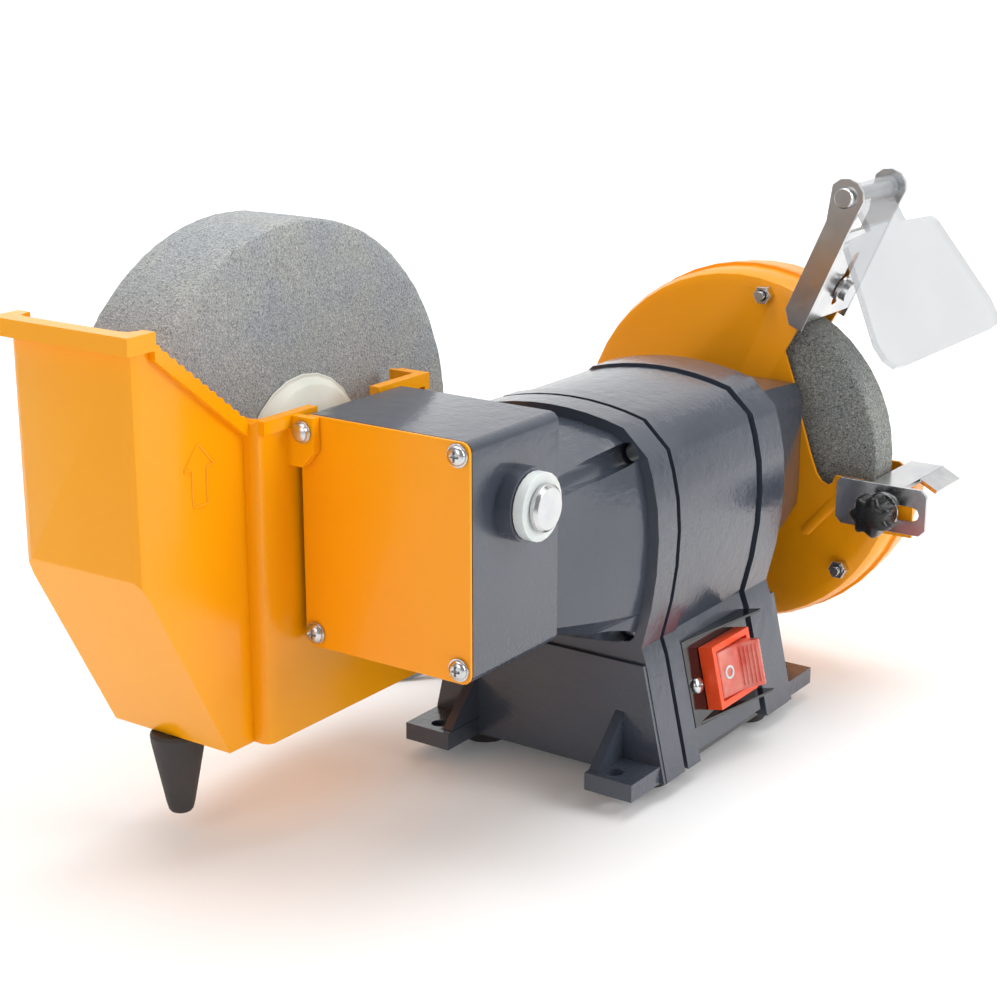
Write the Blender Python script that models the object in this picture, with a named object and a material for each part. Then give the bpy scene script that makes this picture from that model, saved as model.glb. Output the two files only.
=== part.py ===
"""Bench grinder with a dry stone on the motor shaft and a slow wet stone behind a worm gearbox.

All sizes are millimetres in the motor frame: X runs along the motor shaft from the gearbox cover (x = 0)
to the dry stone, -Y is the operator's side with the switch, +Z is up and the shaft axis is y = z = 0.
The root empty then stands the whole machine on the floor, with its bounding box centred.
"""
import math

import bmesh
import bpy
from mathutils import Vector

MM = 0.001
TAU = 2 * math.pi

# ---- driving dimensions -------------------------------------------------------------------------
GAP = 0.3                   # clearance between pieces that touch
SEGMENTS = 24               # facets round a large turned piece
SMALL_SEGMENTS = 12         # facets round a screw or a pin

AXLE_HEIGHT = 113.0         # motor axis above the table
SHAFT_RADIUS = 8.0          # motor shaft through the rotor and the bearings
SPINDLE_RADIUS = 6.3        # motor shaft in the dry stone
BODY_HALF_WIDTH = 55.5      # motor casing at the height of its axis
BODY_TOP = 55.4
WAIST_Z = -46.0             # where the round casing meets the sloping base
SEAM_LEFT = 131.0           # left seam of the motor casing
BAND_LENGTH = 74.0          # from the left seam to the right seam
SEAM_HALF_WIDTH = 1.5
BAND_STRIP = 11.0           # raised strip of the middle housing beside the left seam
BAND_INSET = 1.3            # how far the rest of it stands back
LEFT_RIM = 17.0             # parallel rim of each end bell
RIGHT_RIM = 23.0
DOME_INSET = 4.5            # step from each rim down to its dome
RIM_FOOT = 2.0              # how far the base wall stands out past the rim
BASE_HALF_WIDTH = 62.5      # cast base at its bottom
CASTING_WALL = 5.5
PAD_THICKNESS = 8.0         # cast foot pads, with a bolt hole in each
PAD_REACH = 24.0
PAD_INNER = 36.3
PAD_OUTER = 60.0
PAD_HOLE_Y = 47.0
PAD_HOLE_INSET = 7.8        # from a pad's end to its hole
PAD_HOLE_RADIUS = 3.75
FOOT_RADIUS = 11.0          # rubber feet
FOOT_DROP = 8.0
CORE_RADIUS = 45.0          # stator core
CORE_LENGTH = 56.0
CORE_BORE = 27.6
SLOTS = 12                  # winding slots in the stator core
BEARING_RADIUS = 17.5
BEARING_WIDTH = 11.0
BOLT_RADIUS = 2.4           # through bolts of the casing
BOLT_Y = 39.5
BOLT_Z = 39.0
BOLT_POCKET_RADIUS = 5.4

GEARBOX_LENGTH = 60.0       # gearbox along the shaft, cover included
GEARBOX_FRONT = -40.0       # operator's face of the gearbox
GEARBOX_BACK = 42.0
GEARBOX_TOP = 68.5
GEARBOX_BOTTOM = -28.0
GEARBOX_WALL = 4.5
GEARBOX_CORNER = 4.0
COVER_THICKNESS = 1.5
SCREW_RADIUS = 2.0
SCREW_HEAD_RADIUS = 4.7
SCREW_HEAD_HEIGHT = 2.8

GEAR_TEETH = 22
GEAR_MODULE = 2.0
GEAR_WIDTH = 9.0
WORM_RADIUS = 16.5          # pitch radius of the worm
WORM_TURNS = 4
WET_AXIS_X = 31.0           # output shaft, square to the motor shaft
OUTPUT_RADIUS = 7.0
BUSH_RADIUS = 10.0
BUSH_FLANGE_RADIUS = 13.7
BUSH_FLANGE = 4.7
BOSS_RADIUS = 15.0
BOSS_HEIGHT = 7.0

WET_STONE_RADIUS = 100.0
WET_STONE_WIDTH = 40.0
WET_STONE_FRONT = 68.0
WET_STONE_RECESS = 14.0
WET_FLANGE_RADIUS = 36.7
WET_FLANGE_HEIGHT = 8.0
TROUGH_WALL = 2.5
TROUGH_CLEARANCE = 10.5     # between the wet stone and the trough's end walls
TROUGH_HALF_LENGTH = WET_STONE_RADIUS + TROUGH_CLEARANCE
TROUGH_FRONT = 53.0
TROUGH_STEP_FRONT = 45.0    # the part of its front wall that comes forward to the gearbox
TROUGH_MOTOR_FRONT = 58.0   # its front wall beside the motor
TROUGH_BACK = 117.0
TROUGH_TOP = 112.0
TROUGH_LOW_RIM = 69.0
TROUGH_MOTOR_RIM = 40.0
TROUGH_BOTTOM = -66.0
TROUGH_KINK = 17.0          # where the end walls start to slope in
TROUGH_BOTTOM_HALF = 67.0
RIM_OUT = 5.0
RIM_HEIGHT = 7.0
NOTCH_RADIUS = 19.6         # slot in the trough's front wall that clears the output shaft
DRAIN_X = -29.5
DRAIN_Y = 88.0
DRAIN_NOZZLE_RADIUS = 6.0
DRAIN_PLUG_LENGTH = 36.0

DRY_STONE_RADIUS = 75.0
DRY_STONE_WIDTH = 20.0
DRY_SIDE_GAP = 74.0         # from the motor's right seam to the guard
DRY_FLANGE_RADIUS = 28.0
DRY_FLANGE_WIDTH = 4.5
GUARD_CLEARANCE = 14.0      # from the dry stone out to the guard's outside
GUARD_RADIUS = DRY_STONE_RADIUS + GUARD_CLEARANCE
GUARD_START = SEAM_LEFT + BAND_LENGTH + DRY_SIDE_GAP   # motor side of the guard
GUARD_SEAM = GUARD_START + 21.0                        # where the two halves of the guard meet
GUARD_END = GUARD_START + 43.0
DRY_STONE_START = GUARD_START + 7.0
GUARD_SHEET = 1.6
GUARD_EDGE = 6.0
GUARD_BOLT_CIRCLE = GUARD_RADIUS - 8.0
GUARD_BOLT_ANGLES = (101.4, 219.4, 339.0)

BRACKET_TURN = math.radians(120.23)   # where the shield bracket's web starts, round the guard
BRACKET_START = ((GUARD_RADIUS - 15.5) * math.cos(BRACKET_TURN), (GUARD_RADIUS - 15.5) * math.sin(BRACKET_TURN))
BRACKET_ANGLE = math.radians(113.8)   # direction of the web in the YZ plane
BRACKET_SHEET = 2.0
BRACKET_DEPTH = 12.3
BRACKET_WEB = (5.0, 54.0)             # ends of the web along the bracket
BRACKET_SLOT = (10.8, 40.4)
BRACKET_SLOT_WIDTH = 6.5
BRACKET_PIN = (68.5, 8.3)             # hinge pin, along the bracket and behind its web
BRACKET_SIDE_GAP = 1.0                # between the guard and the bracket's flanges
PIN_RADIUS = 3.0
SHIELD_TILT = math.radians(33.2)      # how far the shield hangs forward of straight down
SHIELD_THICKNESS = 3.0
SHIELD_LENGTH = 83.0
REST_SHEET = 2.0
REST_TOP = -4.5
REST_DEPTH = 22.8
REST_STUD = (-GUARD_RADIUS + 4.5, -17.0)                  # knob's stud, (y, z)
REST_SLOT = (REST_STUD[0] - 18.5, REST_STUD[0] + 14.5)
REST_SLOT_WIDTH = 7.0
KNOB_RADIUS = 10.8

SWITCH_PLATE = (144.0, 199.0)         # along X
SWITCH_HEIGHT = 39.5
SWITCH_HOOD = 12.0
SWITCH_BODY = (156.0, 190.0)
SWITCH_PROUD = 9.0
ROCKER_PIVOT = 5.0                    # height of the rocker's pivot above the base face
CORD_RADIUS = 3.5
CORD_EXIT_X = 185.0
CORD_EXIT_Z = -92.0
COIL_CENTRE = (236.0, 152.0)
COIL_MIDDLE = 38.5
COIL_HALF_WIDTH = 10.5
COIL_HEIGHT = 14.0

# ---- dimensions that follow from them -----------------------------------------------------------
GEAR_RADIUS = GEAR_TEETH * GEAR_MODULE / 2
WET_AXIS_Z = WORM_RADIUS + GEAR_RADIUS
WET_AXIS = (WET_AXIS_X, WET_AXIS_Z)
SEAM_RIGHT = SEAM_LEFT + BAND_LENGTH
FLOOR = -AXLE_HEIGHT
BASE_BOTTOM = FLOOR + FOOT_DROP
BASE_SLOPE_TOP = (50.7, -53.2)        # where the straight slope of the base starts, (y, z)
SLOPE = math.atan2(BASE_HALF_WIDTH - BASE_SLOPE_TOP[0], BASE_SLOPE_TOP[1] - BASE_BOTTOM)
CORE_START = (SEAM_LEFT + SEAM_RIGHT - CORE_LENGTH) / 2
CORE_END = CORE_START + CORE_LENGTH
LEFT_BEARING = GEARBOX_LENGTH + 24.0
RIGHT_BEARING = GUARD_START - 6.0 - BEARING_WIDTH
SHIELD_MIDDLE = (GUARD_START + GUARD_END) / 2
TROUGH_LEFT = WET_AXIS_X - TROUGH_HALF_LENGTH
TROUGH_RIGHT = WET_AXIS_X + TROUGH_HALF_LENGTH
TROUGH_STEP_LEFT = WET_AXIS_X - 52.5
TROUGH_STEP_RIGHT = WET_AXIS_X + 52.0
WEB_DIRECTION = (math.cos(BRACKET_ANGLE), math.sin(BRACKET_ANGLE))
WEB_REAR = (math.sin(BRACKET_ANGLE), -math.cos(BRACKET_ANGLE))
REST_START = GUARD_START - 4.0


# ---- mesh helpers -------------------------------------------------------------------------------
def clear_scene():
    for item in list(bpy.data.objects):
        bpy.data.objects.remove(item, do_unlink=True)


def place(u, v, w, axis):
    """Outline coordinates (u, v) at w along an axis: X takes (y, z), Y takes (x, z), Z takes (x, y)."""
    return {"X": (w, u, v), "Y": (u, w, v), "Z": (u, v, w)}[axis]


def face_outwards(mesh):
    bmesh.ops.recalc_face_normals(mesh, faces=mesh.faces)
    if mesh.calc_volume(signed=True) < 0:
        bmesh.ops.reverse_faces(mesh, faces=mesh.faces)
    return mesh


def ring_mesh(rings, poles=(None, None), closed=False):
    """A closed skin over rings of equally many points, capped by faces or by single pole points."""
    mesh = bmesh.new()
    rows = [[mesh.verts.new(Vector(point) * MM) for point in ring] for ring in rings]
    count = len(rows[0])
    pairs = list(zip(rows, rows[1:]))
    if closed:
        pairs.append((rows[-1], rows[0]))
    for first, second in pairs:
        for i in range(count):
            j = (i + 1) % count
            mesh.faces.new((first[i], first[j], second[j], second[i]))
    if not closed:
        for row, pole in ((rows[0], poles[0]), (rows[-1], poles[1])):
            if pole is None:
                mesh.faces.new(row)
                continue
            tip = mesh.verts.new(Vector(pole) * MM)
            for i in range(count):
                mesh.faces.new((row[i], row[(i + 1) % count], tip))
    return face_outwards(mesh)


def prism(outline, axis, start, end):
    return ring_mesh([[place(u, v, w, axis) for u, v in outline] for w in (start, end)])


def box(x0, x1, y0, y1, z0, z1):
    return prism([(x0, y0), (x1, y0), (x1, y1), (x0, y1)], "Z", z0, z1)


def circle(centre, radius, segments, turn=0.0):
    steps = [turn + TAU * i / segments for i in range(segments)]
    return [(centre[0] + radius * math.cos(a), centre[1] + radius * math.sin(a)) for a in steps]


def arc(centre, radius, start, end, steps):
    """Points of an arc between two angles in degrees."""
    angles = [math.radians(start + (end - start) * i / steps) for i in range(steps + 1)]
    return [(centre[0] + radius * math.cos(a), centre[1] + radius * math.sin(a)) for a in angles]


def rounded_box(u0, u1, v0, v1, radius, steps=3):
    """Outline of a rectangle with rounded corners."""
    return (arc((u1 - radius, v1 - radius), radius, 0, 90, steps)
            + arc((u0 + radius, v1 - radius), radius, 90, 180, steps)
            + arc((u0 + radius, v0 + radius), radius, 180, 270, steps)
            + arc((u1 - radius, v0 + radius), radius, 270, 360, steps))


def turned(profile, axis, centre, segments=SEGMENTS):
    """Turn (radius, position) points round an axis; the profile starts and ends on the axis."""
    rings = [[place(u, v, along, axis) for u, v in circle(centre, radius, segments)]
             for radius, along in profile[1:-1]]
    return ring_mesh(rings, (place(*centre, profile[0][1], axis), place(*centre, profile[-1][1], axis)))


def turned_ring(profile, axis, centre, segments=SEGMENTS):
    """Turn a closed profile of (radius, position) points round an axis that it doesn't touch."""
    rings = [[place(u, v, along, axis) for u, v in circle(centre, radius, segments)]
             for radius, along in profile]
    return ring_mesh(rings, closed=True)


def cylinder(radius, axis, centre, start, end, segments=SEGMENTS, chamfer=0.0):
    """A round bar whose far end can be chamfered."""
    profile = [(0, start), (radius, start), (radius, end), (0, end)]
    if chamfer:
        step = math.copysign(chamfer, end - start)
        profile[2:3] = [(radius, end - step), (radius - chamfer, end)]
    return turned(profile, axis, centre, segments)


def washer(outer, inner, axis, centre, start, end, segments=SEGMENTS):
    return turned_ring([(inner, start), (outer, start), (outer, end), (inner, end)], axis, centre, segments)


def clear(radius, segments=SEGMENTS):
    """Radius of a faceted bore that clears a bar of this radius all round."""
    return (radius + GAP) / math.cos(math.pi / segments)


def as_object(mesh, name):
    data = bpy.data.meshes.new(name)
    mesh.to_mesh(data)
    mesh.free()
    item = bpy.data.objects.new(name, data)
    bpy.context.scene.collection.objects.link(item)
    return item


def combine(body, tool, operation):
    """One exact Boolean step on two closed meshes; it gives back the resulting mesh."""
    target = as_object(body, "body")
    other = as_object(tool, "tool")
    step = target.modifiers.new(operation.lower(), "BOOLEAN")
    step.object = other
    step.operation = operation
    step.solver = "EXACT"
    evaluated = target.evaluated_get(bpy.context.evaluated_depsgraph_get())
    result = bmesh.new()
    result.from_mesh(evaluated.data)
    bmesh.ops.dissolve_limit(result, angle_limit=math.radians(0.05), verts=result.verts, edges=result.edges)
    for item in (target, other):
        data = item.data
        bpy.data.objects.remove(item, do_unlink=True)
        bpy.data.meshes.remove(data)
    return result


def cut(body, *tools):
    for tool in tools:
        body = combine(body, tool, "DIFFERENCE")
    return body


def join(body, *pieces):
    for piece in pieces:
        body = combine(body, piece, "UNION")
    return body


def common(body, tool):
    return combine(body, tool, "INTERSECT")


# ---- materials and finished pieces --------------------------------------------------------------
FINISHES = {                     # colour, roughness, metallic
    "slate_paint": ((0.075, 0.085, 0.110), 0.35, 0.0),
    "orange_steel": ((1.0, 0.330, 0.0), 0.35, 0.0),
    "orange_plastic": ((1.0, 0.380, 0.0), 0.25, 0.0),
    "zinc": ((0.72, 0.72, 0.70), 0.25, 1.0),
    "steel": ((0.45, 0.45, 0.46), 0.35, 1.0),
    "lamination": ((0.22, 0.22, 0.24), 0.5, 0.9),
    "copper": ((0.62, 0.25, 0.09), 0.4, 0.8),
    "bronze": ((0.55, 0.36, 0.12), 0.4, 0.9),
    "black_steel": ((0.012, 0.012, 0.013), 0.3, 0.0),
    "rubber": ((0.035, 0.030, 0.030), 0.75, 0.0),
    "black_plastic": ((0.015, 0.015, 0.016), 0.45, 0.0),
    "nylon": ((0.82, 0.82, 0.80), 0.4, 0.0),
    "cream_plastic": ((0.80, 0.77, 0.68), 0.45, 0.0),
    "wet_grit": ((0.33, 0.34, 0.35), 0.95, 0.0),
    "dry_grit": ((0.20, 0.21, 0.22), 0.95, 0.0),
    "switch_red": ((0.90, 0.075, 0.020), 0.35, 0.0),
    "rocker_red": ((0.95, 0.18, 0.14), 0.15, 0.0),
    "clear_plastic": ((0.85, 0.88, 0.90), 0.05, 0.0),
    "cord_grey": ((0.30, 0.31, 0.32), 0.55, 0.0),
}


def finish(name):
    material = bpy.data.materials.get(name)
    if material:
        return material
    colour, roughness, metallic = FINISHES[name]
    material = bpy.data.materials.new(name)
    material.use_nodes = True
    shader = material.node_tree.nodes["Principled BSDF"]
    shader.inputs["Base Color"].default_value = (*colour, 1.0)
    shader.inputs["Roughness"].default_value = roughness
    shader.inputs["Metallic"].default_value = metallic
    material.diffuse_color = (*colour, 1.0)
    return material


def piece(name, mesh, finish_name, root, origin=(0.0, 0.0, 0.0)):
    """A finished node, with its own origin, hung from the root."""
    shift = Vector(origin) * MM
    for vertex in mesh.verts:
        vertex.co -= shift
    item = as_object(mesh, name)
    item.location = shift
    item.parent = root
    item.data.materials.append(finish(finish_name))
    item.data.shade_smooth()
    item.data.set_sharp_from_angle(angle=math.radians(32))
    return item


# ---- motor --------------------------------------------------------------------------------------
def half_width(z):
    """Half width of the round casing at a height: flatter below the axis than above it."""
    middle = 4.0
    curve = 95.0 if z > middle else 168.0
    return BODY_HALF_WIDTH - (z - middle) ** 2 / (2 * curve)


def casing_outline(inset=0.0, bottom=BASE_BOTTOM):
    """Section of the motor casing and its base, in (y, z), counter-clockwise from the front foot."""
    crown = 5.2
    shoulder = 37.0
    top_radius = (shoulder ** 2 + crown ** 2) / (2 * crown)
    spread = math.degrees(math.asin(shoulder / top_radius))
    top = arc((0, BODY_TOP - top_radius), top_radius - inset, 90 - spread, 90, 4)
    side = [(half_width(z) - inset, z) for z in (WAIST_Z, -28.0, -12.0, 4.0, 18.0, 30.0, 39.0)]
    foot = (BASE_SLOPE_TOP[0] + (BASE_SLOPE_TOP[1] - bottom) * math.tan(SLOPE) - inset, bottom)
    right = [foot, (BASE_SLOPE_TOP[0] - inset, BASE_SLOPE_TOP[1])] + side + top
    return right + [(-y, z) for y, z in reversed(right[:-1])]


def base_outline(inset, top, bottom):
    """Trapezoid between the sloping sides of the base."""
    def side(z):
        return BASE_SLOPE_TOP[0] + (BASE_SLOPE_TOP[1] - z) * math.tan(SLOPE) - inset
    return [(side(bottom), bottom), (side(top), top), (-side(top), top), (-side(bottom), bottom)]


def resample(outline, centre, count):
    """Points of an outline on evenly spaced rays from a centre inside it."""
    points = []
    for step in range(count):
        ray = (math.cos(TAU * step / count), math.sin(TAU * step / count))
        reach = 0.0
        for (y0, z0), (y1, z1) in zip(outline, outline[1:] + outline[:1]):
            edge = (y1 - y0, z1 - z0)
            cross = ray[0] * edge[1] - ray[1] * edge[0]
            if abs(cross) < 1e-9:
                continue
            offset = (y0 - centre[0], z0 - centre[1])
            along = (offset[0] * edge[1] - offset[1] * edge[0]) / cross
            share = (offset[0] * ray[1] - offset[1] * ray[0]) / cross
            if -1e-9 <= share <= 1 + 1e-9 and along > reach:
                reach = along
        points.append((centre[0] + reach * ray[0], centre[1] + reach * ray[1]))
    return points


def bolt_places():
    return [(side * BOLT_Y, height * BOLT_Z) for side in (-1, 1) for height in (1, -1)]


def end_bell(seam, rim, dome_end, bearing, rim_foot):
    """Cast end bell: rim and base beside the seam, a dome narrowing away from it, and two foot pads."""
    way = math.copysign(1, dome_end - seam)
    rim_end = seam + way * rim
    wall = rim_end + way * rim_foot
    bell = prism(casing_outline(), "X", seam + way * SEAM_HALF_WIDTH, rim_end)
    lip = prism(casing_outline(3.0, BASE_BOTTOM + 3.0), "X", seam - way * (SEAM_HALF_WIDTH - GAP),
                seam + way * (SEAM_HALF_WIDTH + 1))
    foot = prism(base_outline(0.4, BASE_SLOPE_TOP[1], BASE_BOTTOM), "X", seam + way * 3, wall)
    inner = [(y, z) for y, z in casing_outline(DOME_INSET) if z > BASE_SLOPE_TOP[1]]
    centre = (0.0, 4.0)
    wide = resample(inner, centre, 40)
    narrow = resample(rounded_box(-38, 38, -26, 38, 6), centre, 40)
    sections = []
    for share, bulge in ((0.0, 0.0), (0.5, 0.6), (1.0, 0.0)):
        ring = []
        for (y0, z0), (y1, z1) in zip(wide, narrow):
            y = y0 + (y1 - y0) * share
            z = z0 + (z1 - z0) * share
            grow = 1 + bulge / math.hypot(y, z - centre[1])
            ring.append(place(y * grow, centre[1] + (z - centre[1]) * grow,
                              rim_end - way + (dome_end - rim_end + way) * share, "X"))
        sections.append(ring)
    bell = join(bell, lip, foot, ring_mesh(sections))
    pad_end = wall + way * PAD_REACH
    for side in (-1, 1):
        pad = box(wall - way * 8, pad_end, side * PAD_INNER, side * PAD_OUTER,
                  BASE_BOTTOM, BASE_BOTTOM + PAD_THICKNESS)
        rib_top = BASE_BOTTOM + 29
        rib = prism([(wall - way * 3, BASE_BOTTOM + 2), (wall - way * 3, rib_top), (wall, rib_top),
                     (pad_end - way * 3, BASE_BOTTOM + PAD_THICKNESS + 0.5), (pad_end - way * 3, BASE_BOTTOM + 2)],
                    "Y", side * (PAD_INNER + 0.5), side * (PAD_INNER + 5))
        bell = join(bell, pad, rib)
        hole = (pad_end - way * PAD_HOLE_INSET, side * PAD_HOLE_Y)
        bell = cut(bell, cylinder(PAD_HOLE_RADIUS, "Z", hole, BASE_BOTTOM - 1, BASE_BOTTOM + PAD_THICKNESS + 1,
                                  SMALL_SEGMENTS))
    motor_room = cylinder(CORE_RADIUS - 3.5, "X", (0, 0), bearing[1], seam - way * 3)
    seat = cylinder(clear(BEARING_RADIUS), "X", (0, 0), bearing[0], bearing[1] - way)
    shaft_hole = cylinder(SHAFT_RADIUS + 1.5, "X", (0, 0), dome_end + way, bearing[0] - way)
    base_room = prism(base_outline(CASTING_WALL, -54.0, BASE_BOTTOM + 6), "X", wall - way * CASTING_WALL,
                      seam - way * 3)
    bell = cut(bell, motor_room, seat, shaft_hole, base_room)
    head_end = seam + way * 9
    for y, z in bolt_places():
        bell = cut(bell, cylinder(clear(BOLT_RADIUS, SMALL_SEGMENTS), "X", (y, z), head_end + way, seam - way * 3,
                                  SMALL_SEGMENTS))
        if way < 0:
            bell = cut(bell, cylinder(BOLT_POCKET_RADIUS, "X", (y, z), dome_end, head_end, SMALL_SEGMENTS))
    return bell


def middle_housing():
    """Cast middle housing: the raised strip at the left seam, then the part that stands back."""
    start = SEAM_LEFT + SEAM_HALF_WIDTH
    strip_end = start + BAND_STRIP
    end = SEAM_RIGHT - SEAM_HALF_WIDTH
    full = casing_outline()
    low = casing_outline(BAND_INSET, BASE_BOTTOM + 4)
    body = ring_mesh([[place(y, z, x, "X") for y, z in outline]
                      for x, outline in ((start, full), (strip_end, full), (strip_end, low), (end, low))])
    body = cut(body, cylinder(clear(CORE_RADIUS), "X", (0, 0), start - 1, end + 1))
    body = cut(body, prism(base_outline(CASTING_WALL, -53.5, BASE_BOTTOM - 5), "X", start - 1, end + 1))
    for y, z in bolt_places():
        body = cut(body, cylinder(clear(BOLT_RADIUS, SMALL_SEGMENTS), "X", (y, z), start - 1, end + 1, SMALL_SEGMENTS))
    body = cut(body, on_switch_face(prism([(SWITCH_BODY[0] + 2, -7), (SWITCH_BODY[1] - 2, -7),
                                           (SWITCH_BODY[1] - 2, -32), (SWITCH_BODY[0] + 2, -32)], "Y", -25, 8)))
    body = cut(body, on_switch_face(cylinder(SCREW_RADIUS + GAP, "Y", (SWITCH_PLATE[0] + 6, -20.5), -14, 3,
                                             SMALL_SEGMENTS)))
    gland_hole = cylinder(6.4, "Y", (CORD_EXIT_X, CORD_EXIT_Z), 40, 70, SMALL_SEGMENTS)
    return cut(body, gland_hole)


def base_plate():
    start = SEAM_LEFT + SEAM_HALF_WIDTH + BAND_STRIP + GAP
    end = SEAM_RIGHT - SEAM_HALF_WIDTH
    outline = [(start, -59), (end, -59), (end, 59), (start, 59)]
    return prism(outline, "Z", BASE_BOTTOM + 0.6, BASE_BOTTOM + 4 - GAP)


def stator_core():
    """Laminated ring with open winding slots."""
    bore, outer = [], []
    half = 3.5
    for slot in range(SLOTS):
        middle = TAU * (slot + 0.5) / SLOTS
        for radius, side in ((CORE_BORE, -1), (38.0, -1), (38.0, 1), (CORE_BORE, 1)):
            angle = middle + side * math.asin(half / radius)
            bore.append((radius * math.cos(angle), radius * math.sin(angle)))
            outer.append((CORE_RADIUS * math.cos(angle), CORE_RADIUS * math.sin(angle)))
    return ring_mesh([[place(y, z, x, "X") for y, z in outline] for x, outline in
                      ((CORE_START, bore), (CORE_START, outer), (CORE_END, outer), (CORE_END, bore))], closed=True)


def stator_winding():
    """Copper ends on both sides of the core, joined by the bars that lie in its slots."""
    overhang = 7.0
    body = washer(37.4, 30.5, "X", (0, 0), CORE_START - overhang, CORE_END + overhang, 24)
    for tooth in range(SLOTS):
        middle = TAU * tooth / SLOTS
        corners = []
        for radius, side in ((28.0, -1), (42.0, -1), (42.0, 1), (28.0, 1)):
            angle = middle + side * (math.pi / SLOTS - math.asin(2.9 / radius))
            corners.append((radius * math.cos(angle), radius * math.sin(angle)))
        body = cut(body, prism(corners, "X", CORE_START - GAP, CORE_END + GAP))
    return body


def worm_thread():
    """Right-handed thread, swept round the shaft with blunt ends."""
    steps = 16
    lead = math.pi * GEAR_MODULE
    root, tip = WORM_RADIUS - 3.0, WORM_RADIUS + GEAR_MODULE
    root_half, tip_half = lead * 0.32, lead * 0.095
    rings = []
    for step in range(WORM_TURNS * steps + 1):
        angle = TAU * step / steps
        middle = WET_AXIS_X + lead * (step / steps - WORM_TURNS / 2)
        ring = []
        for radius, along in ((root, -root_half), (tip, -tip_half), (tip, tip_half), (root, root_half)):
            ring.append((middle + along, radius * math.cos(angle), radius * math.sin(angle)))
        rings.append(ring)
    return ring_mesh(rings)


def motor_shaft():
    """Shaft from the worm to the dry stone's nut."""
    worm_half = GEAR_MODULE * math.pi * WORM_TURNS / 2 + 2.4
    root = WORM_RADIUS - GEAR_MODULE - 0.5
    shoulder = DRY_STONE_START - DRY_FLANGE_WIDTH
    profile = [(0, WET_AXIS_X - worm_half - 5), (SHAFT_RADIUS, WET_AXIS_X - worm_half - 5),
               (SHAFT_RADIUS, WET_AXIS_X - worm_half), (root, WET_AXIS_X - worm_half),
               (root, WET_AXIS_X + worm_half), (SHAFT_RADIUS, WET_AXIS_X + worm_half),
               (SHAFT_RADIUS, shoulder - GAP), (SPINDLE_RADIUS, shoulder - GAP),
               (SPINDLE_RADIUS, GUARD_END - 4), (0, GUARD_END - 4)]
    return join(turned(profile, "X", (0, 0), 24), worm_thread())


def build_motor(root):
    left_bearing = (LEFT_BEARING, LEFT_BEARING + BEARING_WIDTH + GAP)
    right_bearing = (RIGHT_BEARING + BEARING_WIDTH, RIGHT_BEARING - GAP)
    piece("left_end_bell", end_bell(SEAM_LEFT, LEFT_RIM, GEARBOX_LENGTH + GAP, left_bearing, RIM_FOOT),
          "slate_paint", root)
    piece("right_end_bell", end_bell(SEAM_RIGHT, RIGHT_RIM, GUARD_START - GAP, right_bearing, 2 * RIM_FOOT),
          "slate_paint", root)
    piece("motor_housing", middle_housing(), "slate_paint", root)
    piece("base_plate", base_plate(), "black_steel", root)
    piece("stator_core", stator_core(), "lamination", root)
    piece("stator_winding", stator_winding(), "copper", root)
    piece("rotor", washer(CORE_BORE - 0.7, clear(SHAFT_RADIUS, 24), "X", (0, 0), CORE_START + 2, CORE_END - 2, 24),
          "lamination", root)
    piece("motor_shaft", motor_shaft(), "steel", root)
    for name, start in (("bearing_left", LEFT_BEARING), ("bearing_right", RIGHT_BEARING)):
        piece(name, washer(BEARING_RADIUS, clear(SHAFT_RADIUS, 24), "X", (0, 0), start + GAP, start + BEARING_WIDTH - GAP,
                           24), "steel", root)
    piece("capacitor", cylinder(13.0, "X", (22.0, -76.0), CORE_START - 2, CORE_START + 40, 20), "black_plastic", root)
    head = SEAM_LEFT - 9
    for number, (y, z) in enumerate(bolt_places(), 1):
        bolt = turned([(0, head - 3.2), (4.2, head - 3.2), (4.2, head - GAP), (BOLT_RADIUS, head - GAP),
                       (BOLT_RADIUS, SEAM_RIGHT + 8), (0, SEAM_RIGHT + 8)], "X", (y, z), 12)
        piece(f"through_bolt_{number}", bolt, "zinc", root)
    for number, (x, side) in enumerate(((SEAM_LEFT - 3, -1), (SEAM_LEFT - 3, 1),
                                        (SEAM_RIGHT + 13, -1), (SEAM_RIGHT + 13, 1)), 1):
        foot = turned([(0, BASE_BOTTOM - GAP), (FOOT_RADIUS, BASE_BOTTOM - GAP), (FOOT_RADIUS, FLOOR + 2),
                       (FOOT_RADIUS - 1.2, FLOOR), (0, FLOOR)], "Z", (x, side * 44.0), 20)
        piece(f"rubber_foot_{number}", foot, "rubber", root)


# ---- switch and cord ----------------------------------------------------------------------------
def on_switch_face(mesh):
    """Stand a mesh built with Y as height above the base face onto the sloping front of the base."""
    normal = (-math.cos(SLOPE), math.sin(SLOPE))
    for vertex in mesh.verts:
        x, height, along = vertex.co / MM
        y = -BASE_SLOPE_TOP[0] + BAND_INSET + normal[0] * height + along * math.sin(SLOPE)
        z = BASE_SLOPE_TOP[1] + normal[1] * height + along * math.cos(SLOPE)
        vertex.co = Vector((x, y, z)) * MM
    return face_outwards(mesh)


def face_box(x0, x1, s0, s1, h0, h1):
    """Box on the switch face: along X, up the slope and out of the face."""
    return prism([(x0, s0), (x1, s0), (x1, s1), (x0, s1)], "Y", h0, h1)


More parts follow.
